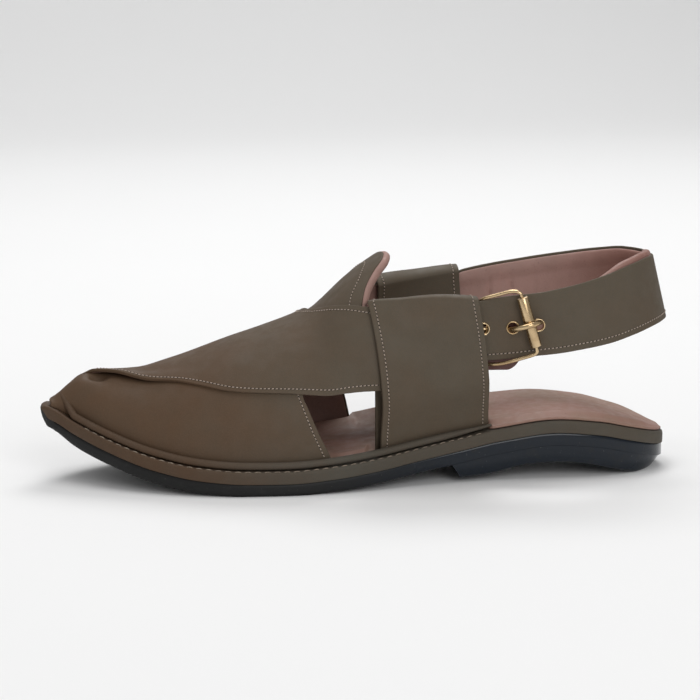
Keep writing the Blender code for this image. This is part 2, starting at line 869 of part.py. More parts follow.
def main():
    for item in list(bpy.data.objects):
        bpy.data.objects.remove(item)
    scene = bpy.context.scene.collection
    chappal = bpy.data.collections.new("peshawari_chappal")
    cutters = bpy.data.collections.new("cutters")
    scene.children.link(chappal)
    scene.children.link(cutters)

    leather = make_material("taupe_leather", (0.105, 0.082, 0.060), 0.55)
    lining = make_material("rose_lining", (0.33, 0.18, 0.155), 0.6)
    rubber = make_material("dark_rubber", (0.016, 0.019, 0.026), 0.35)
    brass = make_material("brass", (0.72, 0.53, 0.30), 0.25, 1.0)

    build_outsole(rubber, chappal)
    build_heel(rubber, chappal)
    build_midsole(leather, chappal)
    build_welt(leather, chappal)
    build_insole(lining, chappal)
    build_upper(leather, chappal, cutters)
    for side in SIDE_STRAPS:
        build_side_strap(side, leather, chappal)
    build_heel_strap(leather, chappal, cutters)
    build_buckle_tab(lining, chappal)
    build_buckle_frame(brass, chappal)
    build_buckle_roller(brass, chappal)
    build_buckle_prong(brass, chappal)
    for number, row in enumerate(EYELETS, 1):
        build_eyelet(number, row, brass, chappal)


main()
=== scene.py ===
"""The looks of a left peshawari chappal: leather, lining, stitches, rubber sole and brass buckle.

Places are worked out in millimetres, from tables of sections like those of the solids, and turned
to metres by MM.
"Along" is a distance from the toe tip. "Turn" is the angle round a section of the last, in degrees:
0 at the outer feather edge, 90 at the crown and 180 at the inner feather edge.
"""

import math

import bmesh
import bpy
import numpy as np
from mathutils import Matrix, Vector


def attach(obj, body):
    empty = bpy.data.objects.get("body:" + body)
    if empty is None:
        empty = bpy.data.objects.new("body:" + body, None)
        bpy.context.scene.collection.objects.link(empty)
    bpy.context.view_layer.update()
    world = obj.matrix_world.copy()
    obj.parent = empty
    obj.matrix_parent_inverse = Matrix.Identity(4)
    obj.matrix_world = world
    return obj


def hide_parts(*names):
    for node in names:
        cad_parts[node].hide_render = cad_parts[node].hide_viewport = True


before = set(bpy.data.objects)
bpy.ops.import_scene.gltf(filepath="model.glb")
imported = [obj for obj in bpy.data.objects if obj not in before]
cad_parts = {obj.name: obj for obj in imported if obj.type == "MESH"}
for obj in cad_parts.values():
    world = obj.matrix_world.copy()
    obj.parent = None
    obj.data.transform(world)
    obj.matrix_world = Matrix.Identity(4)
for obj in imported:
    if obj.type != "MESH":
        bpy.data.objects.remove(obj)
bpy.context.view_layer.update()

MM = 0.001
GAP = 0.3
SOLE_GAP = 0.12
HEEL_GAP = 0.09
SEED = 7

# The sole, the last and the straps, as in the solids but for small changes that follow the photo

SOLE_LENGTH = 292.3
OVERALL_LENGTH = 292.7
TOE_ROUND = 5.0
TOE_LEAST_SHARE = 0.25
HEEL_ROUND_FROM = 245.0
HEEL_ROUND_POWER = 2.3
HEEL_LEAST_SHARE = 0.1
LEAST_HALF_WIDTH = 0.8

MIDSOLE_THICK = 5.8
OUTSOLE_THICK = 5.5
OUTSOLE_TOE_SHARE = 0.6
OUTSOLE_TOE_REACH = 20.0
OUTSOLE_INSET = 0.85
TOE_TIP_ROUNDING = 1.9
TIP_WRAP = {"length": 8.0, "height": 6.0, "depth": 0.9, "front": 4.5}
WELT_RADIUS = 1.7
WELT_INSET = 3.0
WELT_END = 205.0
WELT_TOE_START = 16.0
WELT_TOE_REACH = 4.5
WELT_TOE_LIFT = -2.2
WELT_TOE_TURN = 70.0
WELT_TOE_POINTS = 8
WELT_TOE_NARROWING = 0.7
INSOLE_RIM = 1.3
INSOLE_PAD = 2.1
INSOLE_EDGE_SHARE = 0.09
INSOLE_END_SHARE = 0.1

UNDER_STRAP_WALL = (0.1, 2.0)
OVER_STRAP_WALL = (1.9, 3.6)
TONGUE_WALL = (-1.2, 1.8)
LIP_LIFT = 2.4
LIP_MIDDLE = 0.34
LIP_SPREAD = 0.09
LIP_DEPTH = 0.22
TOE_DIP = {"along": 27.5, "length": 4.3, "turn": 79.0, "turns": 10.0, "depth": 4.0}
OVER_STRAP_SETTLING = 1.4
FRONT_STRAP_CROWDING = 1.3
LAST_START = 5.5

LOOP_LEATHER = 1.8
LOOP_OUTSIDE = 4.6
LOOP_INSIDE = {"outer": -3.5, "inner": -1.9}
LOOP_FOLD_SHARES = (0.42, 0.58)
LOOP_SPREAD_SHARE = 0.3
LOOP_FOLD_HEIGHT = 2.5

HEEL_STRAP_THICK = 2.4
HEEL_STRAP_PADDED = 3.4
HEEL_PADDING_GROWTH = 3.0
HEEL_RING_CENTRE = 92.0
HEEL_RING_LENGTH = 49.8
HEEL_RING_HALF_WIDTH = 37.0
HEEL_STRAP_LEAN = 7.0
HEEL_STRAP_IN_LOOP = 2.0
HEEL_STRAP_INNER_END = 30.0
RING_SHARE = 0.56
HEEL_STRAP_SETTLING = 0.6
BUCKLE_HEIGHT = 71.0

WIRE_RADIUS = 0.85
ROLLER_RADIUS = 2.55
ROLLER_BORE = 1.1
ROLLER_SHARE = (0.05, 0.95)
PRONG_RADIUS = 1.3
EYELET_HOLE = 2.25
EYELET_BARREL = 2.5
EYELET_FLANGE = 3.15
EYELET_FLANGE_THICK = 0.6


def table(columns, *rows):
    """Rows of named columns; the first column is the one that is looked up."""
    numbers = {name: np.array([row[i] for row in rows], float) for i, name in enumerate(columns)}
    return {"key": columns[0]} | numbers


SOLE = table(
    ("along", "outer", "inner", "seat"),
    (0, -1.0, 7.0, 34.0),
    (4, -4.2, 10.6, 35.0),
    (8, -7.0, 14.0, 33.7),
    (15, -13.0, 20.0, 29.8),
    (30, -25.0, 31.0, 23.3),
    (50, -36.5, 40.5, 16.6),
    (70, -44.5, 46.5, 12.9),
    (90, -48.6, 49.5, 11.5),
    (110, -49.5, 49.0, 11.3),
    (130, -47.5, 45.5, 12.3),
    (150, -43.5, 40.0, 14.4),
    (170, -38.0, 35.0, 17.5),
    (190, -34.0, 31.5, 20.8),
    (210, -32.0, 30.0, 24.5),
    (235, -32.0, 31.0, 27.4),
    (255, -31.5, 31.0, 25.6),
    (270, -31.0, 31.0, 22.1),
    (292, -31.0, 31.0, 16.0),
)
HEEL_TREAD = table(
    ("along", "height"),
    (190, 2.2),
    (203, 3.1),
    (223, 7.0),
    (236, 7.6),
    (248, 6.6),
    (260, 3.9),
    (270, 1.3),
    (277, 0.0),
    (292, 0.0),
)
HEEL_FRONT = {"top": 186.4, "bottom": 190.6}
HEEL_REAR = {"top": 291.2, "bottom": 287.6}
HEEL_ROUNDNESS = 0.75
FEATHER = table(
    ("along", "outer", "inner"),
    (5, 3.2, 3.6),
    (10, 5.6, 7.0),
    (16, 7.3, 9.0),
    (290, 7.3, 9.0),
)
LAST = table(
    ("along", "crown", "swell", "square"),
    (5.5, 35.4, 0.1, 2.0),
    (8.5, 36.8, 0.3, 2.0),
    (11.5, 39.1, 0.4, 2.0),
    (14, 41.4, 0.4, 2.0),
    (17, 43.8, 0.5, 2.0),
    (20, 46.0, 0.6, 2.0),
    (23, 46.8, 0.7, 2.0),
    (26, 47.1, 0.8, 2.0),
    (36, 47.0, 1.0, 2.0),
    (46, 47.3, 1.2, 2.1),
    (62, 51.3, 1.5, 2.1),
    (91, 61.3, 2.0, 2.15),
    (106, 66.2, 2.2, 2.2),
    (121, 71.8, 2.8, 2.25),
    (128.5, 76.0, 3.4, 2.3),
    (136, 83.0, 4.2, 2.4),
    (143, 89.7, 5.0, 2.45),
    (151, 96.0, 6.0, 2.5),
    (160, 101.7, 7.5, 2.6),
    (175, 110.0, 9.6, 2.7),
    (200, 121.0, 12.5, 2.8),
    (225, 129.0, 13.5, 2.8),
)
UNDER_STRAP = table(
    ("share", "front", "front_turn", "rear", "rear_turn"),
    (0.00, 5.8, 0, 130.3, 0),
    (0.06, 5.8, 45, 124.2, 11),
    (0.13, 6.4, 100, 119.5, 23),
    (0.20, 13, 130, 117.3, 31),
    (0.36, 40, 128, 117.5, 60),
    (0.46, 54, 126, 122.5, 83),
    (0.56, 70, 130, 129.5, 98),
    (0.68, 92, 140, 138, 114),
    (0.80, 121, 150, 147, 124),
    (0.90, 146, 158, 158, 132),
    (1.00, 174, 166, 174, 141),
)
OVER_STRAP = table(
    ("share", "front", "front_turn", "rear", "rear_turn"),
    (0.00, 5.9, 180, 148.4, 180),
    (0.08, 7.4, 118, 143.6, 166),
    (0.15, 21.5, 100, 138, 148),
    (0.22, 26.0, 88, 131, 122),
    (0.30, 33.5, 76, 123.6, 96),
    (0.38, 42.5, 68.5, 126, 89),
    (0.48, 61, 59, 131, 79),
    (0.60, 86, 41.2, 137.5, 67),
    (0.74, 117, 30.7, 144.5, 57),
    (0.86, 142, 20.2, 152, 49.5),
    (1.00, 172, 10.8, 172, 38.5),
)
TONGUE_REAR = table(
    ("turn", "along"),
    (53, 146.6),
    (60, 148.6),
    (66, 150.5),
    (74, 155.0),
    (82, 160.3),
    (90, 162.0),
    (98, 160.3),
    (106, 155.0),
    (114, 150.5),
    (120, 148.6),
    (127, 146.6),
)
TONGUE_START = 112.0
TONGUE_TURNS = (53.0, 127.0)
SIDE_STRAPS = {
    "outer": {"front_foot": 152.6, "front_top": 149.2, "rear_foot": 204.3, "rear_top": 197.2, "out": 0.1},
    "inner": {"front_foot": 163.0, "front_top": 160.0, "rear_foot": 203.6, "rear_top": 199.4, "out": 1.8},
}
SIDE_STRAP_TOP = table(
    ("along", "outer", "inner"),
    (149, 53.0, 53.0),
    (163, 45.0, 46.2),
    (180, 38.3, 40.0),
    (200, 30.4, 34.9),
)
HEEL_STRAP = table(
    ("way", "low", "high"),
    (-1.00, 56.4, 81.0),
    (-0.86, 56.6, 84.0),
    (-0.76, 57.2, 86.4),
    (-0.65, 58.9, 88.0),
    (-0.59, 59.8, 89.6),
    (-0.53, 61.0, 91.4),
    (-0.41, 63.6, 95.6),
    (-0.31, 66.6, 98.7),
    (-0.20, 69.3, 100.3),
    (-0.10, 70.4, 100.1),
    (0.00, 70.2, 99.6),
    (0.10, 69.6, 100.1),
    (0.22, 67.6, 100.0),
    (0.35, 64.8, 98.1),
    (0.48, 62.0, 95.4),
    (0.61, 59.5, 92.9),
    (0.75, 57.2, 90.7),
    (0.82, 56.8, 88.9),
    (0.87, 56.6, 85.0),
    (1.00, 56.4, 82.0),
)
INSOLE_INSET = table(
    ("along", "outer", "inner"),
    (0, 8.2, 9.9),
    (131, 8.2, 9.9),
    (134, 5.4, 9.9),
    (146, 5.4, 9.9),
    (147.6, 9.6, 9.9),
    (148.8, 13.6, 3.0),
    (162.4, 13.6, 3.0),
    (163.6, 13.6, 13.4),
    (202.6, 13.6, 13.4),
    (204.8, 2.8, 2.8),
    (208.0, 1.4, 1.4),
    (290, 1.4, 1.4),
)
INSOLE_ENDS = (12.5, 290.8)
INSOLE_ARCH = {"along": 176.0, "length": 40.0, "start": 0.6, "height": 5.6}
BUCKLE_FRAME = table(
    ("x", "z", "out"),
    (70.5, 87.6, 3.2),
    (77.9, 62.5, 3.2),
    (77.8, 61.2, 3.2),
    (77.0, 60.2, 3.1),
    (75.3, 59.5, 2.9),
    (69.7, 57.6, 2.0),
    (65.6, 56.2, 1.4),
    (62.4, 55.3, 0.6),
    (59.2, 54.8, -0.7),
    (56.5, 54.7, -1.9),
    (53.6, 54.9, -2.9),
    (52.2, 55.6, -3.4),
    (51.6, 57.2, -3.5),
    (51.2, 80.8, -3.5),
    (51.6, 82.6, -3.2),
    (52.6, 84.4, -2.2),
    (54.4, 85.7, -1.0),
    (59.6, 87.2, 0.8),
    (64.0, 88.6, 2.0),
    (66.4, 89.1, 2.6),
    (68.6, 89.0, 3.1),
    (69.9, 88.4, 3.2),
)
PRONG = table(
    ("x", "z", "out"),
    (53.2, 71.0, -3.6),
    (58.6, 71.0, -3.65),
    (62.4, 71.1, -3.6),
    (64.6, 71.1, -3.3),
    (65.6, 71.1, -2.3),
    (66.0, 71.2, -0.7),
    (66.1, 71.3, 1.0),
    (66.5, 71.5, 2.6),
    (67.8, 72.1, 4.5),
    (70.4, 73.1, 6.7),
    (73.8, 74.1, 7.3),
    (76.2, 74.6, 6.5),
    (78.0, 74.9, 4.8),
    (79.5, 74.9, 2.6),
)
EYELETS = ((53.3, 71.7), (67.1, 72.0), (78.7, 73.1))
BUCKLE_TAB = {"front": 40.0, "rear": 73.0, "low": 51.2, "high": 80.0, "out": -4.8, "thick": 1.5}
TAB_ROUND_SHARE = 0.55
TAB_END_SHARE = 0.35

# Looks: stitches, seams and creases

SMOOTH_ANGLE = 50.0
LEATHER_RIM = 0.5
STITCH_INSET = 2.9
STITCH = {"pitch": 1.8, "length": 1.2, "width": 0.44, "height": 0.36, "slant": 8.0}
WELT_STITCH = {"pitch": 4.4, "length": 2.8, "width": 0.48, "height": 0.4, "slant": 3.0}
WELT_STITCH_INSET = 0.75
# The needle holes are flat discs of painted shade: their radius, and their lift off the leather.
NEEDLE_HOLE = 0.32
NEEDLE_HOLE_LIFT = 0.05
THREAD_SIDES = 6
THREAD_FLATNESS = 0.75
THREAD_RISE = 0.55
THREAD_ARCH = table(
    ("spot", "width", "rise"),
    (-1.0, 0.35, -0.75),
    (-0.86, 0.8, -0.1),
    (-0.5, 1.0, 0.75),
    (0.0, 1.05, 1.0),
    (0.5, 1.0, 0.75),
    (0.86, 0.8, -0.1),
    (1.0, 0.35, -0.75),
)

TONGUE_ROLL_RADIUS = 1.9
TONGUE_ROLL_SHARE = 0.955
TONGUE_STITCH_TURNS = (57.0, 124.0)
TONGUE_LINE = ((91.0, 152.0), (84.0, 149.7), (76.0, 147.0), (68.5, 143.0), (63.0, 141.4), (57.0, 140.6))

# The heel strap's lining: where it rises over the leather, how full it is, and the puffed band and
# the roll at its top. Then its creases: their place round the strap, lean, depth and width.
HEEL_LINING = {"middle": -0.19, "reach": 0.3, "hem": 0.02, "rise": 2.0, "drop": 1.1, "behind": 1.15}
LINING_FULLNESS = {"puff": 0.6, "band_from": 0.76, "band_wide": 0.24, "band": 0.9}
LINING_ROLL = {"from": 0.8, "out": 0.9}
LINING_CREASES = (
    {"way": 0.72, "lean": 0.020, "depth": 1.1, "width": 0.006},
    {"way": 0.685, "lean": -0.015, "depth": 0.8, "width": 0.005},
    {"way": 0.64, "lean": 0.030, "depth": 0.9, "width": 0.006},
    {"way": 0.56, "lean": 0.025, "depth": 0.35, "width": 0.007},
    {"way": 0.20, "lean": -0.020, "depth": 0.25, "width": 0.008},
    {"way": -0.15, "lean": 0.020, "depth": 0.25, "width": 0.008},
)

IMAGE_WIDTH = 700
CAMERA = {
    "azimuth": 8.0,
    "elevation": 10.3,
    "target": (-0.0023, 0.0, 0.057),
    "distance": 1.3,
    "focal_pixels": 2811.9,
    "sensor": 36.0,
}

WORLD_STRENGTH = 0.38
LIGHTS = (
    {"name": "top", "at": (-0.3, 0.0, 1.9), "size": 1.3, "power": 12.5},
    {"name": "front", "at": (0.45, -1.9, 0.9), "size": 1.2, "power": 13.5},
    {"name": "back", "at": (0.3, 1.1, 1.5), "size": 0.9, "power": 12.5},
)


# Curves and shares


def value(rows, column, at):
    """A column read at any place by a smooth curve that never overshoots its rows."""
    xs, ys = rows[rows["key"]], rows[column]
    rise = np.diff(ys) / np.diff(xs)
    product = rise[:-1] * rise[1:]
    total = rise[:-1] + rise[1:]
    inner = np.where(product > 0, 2 * product / np.where(product > 0, total, 1.0), 0.0)
    slope = np.concatenate(([rise[0]], inner, [rise[-1]]))
    at = np.clip(at, xs[0], xs[-1])
    i = np.clip(np.searchsorted(xs, at, side="right") - 1, 0, len(xs) - 2)
    step = xs[i + 1] - xs[i]
    t = (at - xs[i]) / step
    start = (1 + 2 * t) * (1 - t) ** 2 * ys[i] + t * (1 - t) ** 2 * step * slope[i]
    end = t * t * (3 - 2 * t) * ys[i + 1] + t * t * (t - 1) * step * slope[i + 1]
    return start + end


def mix(a, b, share):
    return a + (b - a) * share


def ease(share):
    share = np.clip(share, 0.0, 1.0)
    return share * share * (3 - 2 * share)


def vector(x, y, z):
    return np.stack(np.broadcast_arrays(x, y, z), axis=-1).astype(float)


def unit(vectors):
    return vectors / np.maximum(np.linalg.norm(vectors, axis=-1, keepdims=True), 1e-9)


def by(share):
    """An array of shares that multiplies vectors."""
    return np.asarray(share)[..., None]


def to_x(along):
    return along - OVERALL_LENGTH / 2


def to_along(x):
    return x + OVERALL_LENGTH / 2


def soften(points, rounds, closed=False):
    """A line with its corners cut, which never leaves the line that it is made from."""
    for _ in range(rounds):
        here, following = (points, np.roll(points, -1, axis=0)) if closed else (points[:-1], points[1:])
        pairs = np.stack([0.75 * here + 0.25 * following, 0.25 * here + 0.75 * following], axis=1)
        middle = pairs.reshape(-1, points.shape[1])
        points = middle if closed else np.concatenate([points[:1], middle, points[-1:]])
    return points


def shares_for(length, step, fine=0.45, band=4.0):
    """Shares of a length in millimetres, close together near both ends."""
    ends = np.arange(0.0, band, fine)
    middle = np.linspace(band, length - band, max(2, round((length - 2 * band) / step)))
    return np.concatenate([ends, middle, length - ends[::-1]]) / length


# The shape of the shoe


def end_round(along):
    """The share of the table's width that is left where the toe tip and the heel are rounded."""
    toe = np.sqrt(np.clip(1 - (1 - along / TOE_ROUND) ** 2, 0, None))
    toe = np.where(along < TOE_ROUND, np.maximum(toe, TOE_LEAST_SHARE), 1.0)
    reach = np.clip((along - HEEL_ROUND_FROM) / (SOLE_LENGTH - HEEL_ROUND_FROM), 0, 1)
    return toe * np.maximum(np.sqrt(1 - reach**HEEL_ROUND_POWER), HEEL_LEAST_SHARE)


def sole_edge(along, side):
    outer, inner = value(SOLE, "outer", along), value(SOLE, "inner", along)
    half = (inner - outer) / 2 * end_round(along)
    return (outer + inner) / 2 + (half if side == "inner" else -half)


def seat(along):
    return value(SOLE, "seat", along)


def inset_edge(along, side, inset):
    """The sole's edge moved inwards by a distance square to the edge."""
    slope = (sole_edge(along + 1, side) - sole_edge(along - 1, side)) / 2
    shift = inset * np.sqrt(1 + np.minimum(slope * slope, 4.0))
    return sole_edge(along, side) + (shift if side == "outer" else -shift)


def across(along, share, inset_outer, inset_inner):
    """A point of the plan, from the outer edge (0) to the inner edge (1)."""
    outer = inset_edge(along, "outer", inset_outer)
    inner = inset_edge(along, "inner", inset_inner)
    half = np.maximum((inner - outer) / 2, LEAST_HALF_WIDTH)
    return (outer + inner) / 2 + half * (2 * share - 1)


def last_point(along, turn):
    outer = inset_edge(along, "outer", value(FEATHER, "outer", along))
    inner = inset_edge(along, "inner", value(FEATHER, "inner", along))
    half = np.maximum((inner - outer) / 2, LEAST_HALF_WIDTH)
    power = 2 / value(LAST, "square", along)
    swell = value(LAST, "swell", along)
    floor = seat(along) + GAP
    cosine, sine = np.cos(np.radians(turn)), np.abs(np.sin(np.radians(turn)))
    reach = (half + swell) * np.abs(cosine) ** power - swell * (1 - sine) ** 3
    y = (outer + inner) / 2 + np.where(cosine > 0, -reach, reach)
    return vector(to_x(along), y, floor + (value(LAST, "crown", along) - floor) * sine**power)


def last_frame(along, turn):
    """A point of the last, its outward normal, and the direction of a rising turn."""
    along_step = last_point(along + 0.2, turn) - last_point(np.maximum(along - 0.2, LAST_START), turn)
    turn_step = last_point(along, np.minimum(turn + 1, 180)) - last_point(along, np.maximum(turn - 1, 0))
    return last_point(along, turn), unit(np.cross(along_step, turn_step)), unit(turn_step)


def above_seat(points):
    """Points of the upper kept clear of the midsole's top."""
    points[..., 2] = np.maximum(points[..., 2], seat(to_along(points[..., 0])) + GAP)
    return points


def last_offset(along, turn, offset):
    point, normal, _ = last_frame(along, turn)
    return above_seat(point + normal * by(offset))


class LastWidths:
    """The last's half width on one side, measured once on a grid of places and heights."""

    def __init__(self, side):
        self.xs = np.linspace(HEEL_STRAP_INNER_END - 1, HEEL_RING_CENTRE + 1, 48)
        self.zs = np.linspace(48.0, 98.0, 26)
        x, z = np.meshgrid(self.xs, self.zs, indexing="ij")
        low = np.full(x.shape, 0.0 if side == "outer" else 180.0)
        high = np.full(x.shape, 90.0)
        for _ in range(24):
            middle = (low + high) / 2
            below = last_offset(to_along(x), middle, HEEL_STRAP_IN_LOOP)[..., 2] < z
            low = np.where(below, middle, low)
            high = np.where(below, high, middle)
        self.widths = np.abs(last_offset(to_along(x), low, HEEL_STRAP_IN_LOOP)[..., 1])

    def at(self, x, z):
        """The half width between the grid's four nearest points."""
        i = np.clip((x - self.xs[0]) / (self.xs[1] - self.xs[0]), 0, len(self.xs) - 1.001)
        j = np.clip((z - self.zs[0]) / (self.zs[1] - self.zs[0]), 0, len(self.zs) - 1.001)
        row, column = i.astype(int), j.astype(int)
        near = mix(self.widths[row, column], self.widths[row, column + 1], j - column)
        far = mix(self.widths[row + 1, column], self.widths[row + 1, column + 1], j - column)
        return mix(near, far, i - row)


LAST_WIDTHS = {side: LastWidths(side) for side in SIDE_STRAPS}


def sole_along(u, start=0.0, end=SOLE_LENGTH, crowding=1.0):
    """Sections that crowd together at the pointed toe and at the round heel."""
    return start + (end - start) * mix(u, (1 - np.cos(math.pi * u)) / 2, crowding)


def tread_height(along):
    """The outsole's underside, which thins out towards the toe tip."""
    thick = OUTSOLE_THICK * mix(OUTSOLE_TOE_SHARE, 1.0, ease(along / OUTSOLE_TOE_REACH))
    return np.maximum(0.0, seat(along) - MIDSOLE_THICK - GAP - thick)


# Meshes


def finish_mesh(name, points, faces, materials, face_materials=None):
    """A piece from points in millimetres, with outward faces, riding on the shoe's one body."""
    mesh = bpy.data.meshes.new(name)
    mesh.from_pydata((np.asarray(points) * MM).tolist(), [], faces)
    for material in materials:
        mesh.materials.append(material)
    if face_materials is not None:
        mesh.polygons.foreach_set("material_index", np.asarray(face_materials, np.int32))
    form = bmesh.new()
    form.from_mesh(mesh)
    bmesh.ops.recalc_face_normals(form, faces=form.faces[:])
    form.to_mesh(mesh)
    form.free()
    mesh.shade_smooth()
    mesh.set_sharp_from_angle(angle=math.radians(SMOOTH_ANGLE))
    piece = bpy.data.objects.new(name, mesh)
    bpy.context.scene.collection.objects.link(piece)
    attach(piece, "root")
    return piece


def grid_faces(rows, columns, start):
    """Faces of a grid of points that are stored row by row."""
    i, j = np.meshgrid(np.arange(rows - 1), np.arange(columns - 1), indexing="ij")
    first = start + (i * columns + j).ravel()
    return np.stack([first, first + columns, first + columns + 1, first + 1], axis=1)


def grid_rim(rows, columns):
    """The grid's outer points in order, as places in a row-by-row list."""
    index = np.arange(rows * columns).reshape(rows, columns)
    return np.concatenate([index[0, :-1], index[:-1, -1], index[-1, :0:-1], index[:0:-1, 0]])


def shell(name, level, us, vs, heights, materials):
    """A closed wall, whose points level(t, u, v) gives from its lower face (0) to its upper face (1).

    The lower face takes the second material, where there is one, and the rest the first."""
    grid_u, grid_v = np.meshgrid(us, vs, indexing="ij")
    rows, columns = grid_u.shape
    rim = grid_rim(rows, columns)
    lower = level(heights[0], grid_u, grid_v).reshape(-1, 3)
    upper = level(heights[-1], grid_u, grid_v).reshape(-1, 3)
    rim_u, rim_v = grid_u.ravel()[rim], grid_v.ravel()[rim]
    bands = [level(t, rim_u, rim_v) for t in heights[1:-1]]
    points = np.concatenate([lower, upper, *bands])
    size = rows * columns
    inner_rings = [2 * size + k * len(rim) + np.arange(len(rim)) for k in range(len(bands))]
    rings = [rim, *inner_rings, rim + size]
    sides = [np.stack([a, np.roll(a, -1), np.roll(b, -1), b], axis=1) for a, b in zip(rings, rings[1:])]
    faces = np.concatenate([grid_faces(rows, columns, 0), grid_faces(rows, columns, size), *sides])
    face_materials = np.zeros(len(faces), int)
    if len(materials) > 1:
        face_materials[: (rows - 1) * (columns - 1)] = 1
    return finish_mesh(name, points, faces.tolist(), materials, face_materials)


def rounded(t):
    """How far in from a wall's edge its skin is, as a share of the rim, across its thickness."""
    return 1 - math.sqrt(max(0.0, 1 - abs(2 * t - 1) ** 3))


def corner(share):
    """How far in a round corner is, as a share of its radius, from 0 before it to 1 at its end."""
    return 1 - math.sqrt(1 - max(0.0, share) ** 2)


LEATHER_HEIGHTS = (0.0, 0.1, 0.3, 0.5, 0.7, 0.85, 0.95, 1.0)


def leather(name, place, low, high, us, vs, size, materials, rim=LEATHER_RIM):
    """A leather wall between two offsets of a surface, with rounded edges."""

    def level(t, u, v):
        inset_u, inset_v = rim * rounded(t) / size[0], rim * rounded(t) / size[1]
        return place(mix(inset_u, 1 - inset_u, u), mix(inset_v, 1 - inset_v, v), mix(low, high, t))

    return shell(name, level, us, vs, LEATHER_HEIGHTS, materials)


def around(turn, side, other):
    """Directions round an axis, from the side at 0 to the other at a quarter turn."""
    return np.cos(turn)[..., None] * side + np.sin(turn)[..., None] * other


def full_turn(count):
    return np.linspace(0, 2 * math.pi, count, endpoint=False)


def ring_faces(rings, sides, start=0, closed=False):
    """Faces between rings of points, with a cap at both ends or the last ring joined to the first."""
    faces = []
    for i in range(rings if closed else rings - 1):
        a, b = start + i * sides, start + (i + 1) % rings * sides
        faces += [(a + k, a + (k + 1) % sides, b + (k + 1) % sides, b + k) for k in range(sides)]
    if not closed:
        faces += [tuple(range(first, first + sides)) for first in (start, start + (rings - 1) * sides)]
    return faces


def tube(name, path, radii, materials, segments=16, closed=False):
    """A round tube along a line, its ends drawn in to a rounded cap."""
    radii = np.broadcast_to(np.asarray(radii, float), (len(path),))
    if not closed:
        cap_reach, cap_width = np.array([[0.6], [0.4]]), np.array([0.15, 0.75])
        for _ in range(2):
            cap = path[0] + unit(path[0] - path[1]) * radii[0] * cap_reach
            path = np.concatenate([cap, path])[::-1]
            radii = np.concatenate([radii[0] * cap_width, radii])[::-1]
    ahead = np.roll(path, -1, axis=0) - np.roll(path, 1, axis=0)
    if not closed:
        ahead[0], ahead[-1] = path[1] - path[0], path[-1] - path[-2]
    ahead = unit(ahead)
    side = np.zeros_like(path)
    side[0] = unit(np.cross(ahead[0], (0.31, 0.17, 0.94)))
    for i in range(1, len(path)):
        side[i] = unit(side[i - 1] - ahead[i] * np.dot(side[i - 1], ahead[i]))
    twist = 0.0
    if closed:
        back = unit(side[-1] - ahead[0] * np.dot(side[-1], ahead[0]))
        twist = math.atan2(np.dot(np.cross(back, side[0]), ahead[0]), np.dot(back, side[0]))
    turn = full_turn(segments)[None, :] + twist * np.linspace(0, 1, len(path))[:, None]
    rings = around(turn, side[:, None], np.cross(ahead, side)[:, None])
    points = (path[:, None] + radii[:, None, None] * rings).reshape(-1, 3)
    return finish_mesh(name, points, ring_faces(len(path), segments, closed=closed), materials)


def lathe(name, profile, centre, axis, materials, segments=36):
    """A closed profile of (radius, height) turned about an axis."""
    axis = unit(np.asarray(axis, float))
    side = unit(np.cross(axis, (0.0, 0.0, 1.0) if abs(axis[2]) < 0.9 else (1.0, 0.0, 0.0)))
    ring = around(full_turn(segments), side, np.cross(axis, side))
    points = np.concatenate([centre + ring * radius + axis * height for radius, height in profile])
    return finish_mesh(name, points, ring_faces(len(profile), segments, closed=True), materials)


def surface_line(place, u, v, offset):
    """Points of a surface with their outward normals."""
    step = 0.002
    points = place(u, v, offset)
    du = place(np.clip(u + step, 0, 1), v, offset) - place(np.clip(u - step, 0, 1), v, offset)
    dv = place(u, np.clip(v + step, 0, 1), offset) - place(u, np.clip(v - step, 0, 1), offset)
    normals = unit(np.cross(du, dv))
    raised = place(u, v, offset + 0.5) - points
    flip = np.where(np.sum(normals * raised, axis=-1) < 0, -1.0, 1.0)
    return points, normals * by(flip)


def inset_line(place, edge, inset, offset, spread=(0.0, 1.0), samples=260):
    """A line a few millimetres in from one edge of a strap: edge is "v0", "v1", "u0" or "u1"."""
    along_line = np.linspace(*spread, samples)
    probe = 0.02

    def at(share):
        share = np.broadcast_to(share, along_line.shape)
        return place(along_line, share, offset) if edge[0] == "v" else place(share, along_line, offset)

    at_start = edge[1] == "0"
    near, far = (at(0.0), at(probe)) if at_start else (at(1.0), at(1 - probe))
    share = inset / np.maximum(np.linalg.norm(far - near, axis=1) / probe, 1.0)
    share = share if at_start else 1 - share
    u, v = (along_line, share) if edge[0] == "v" else (share, along_line)
    return surface_line(place, u, v, offset)


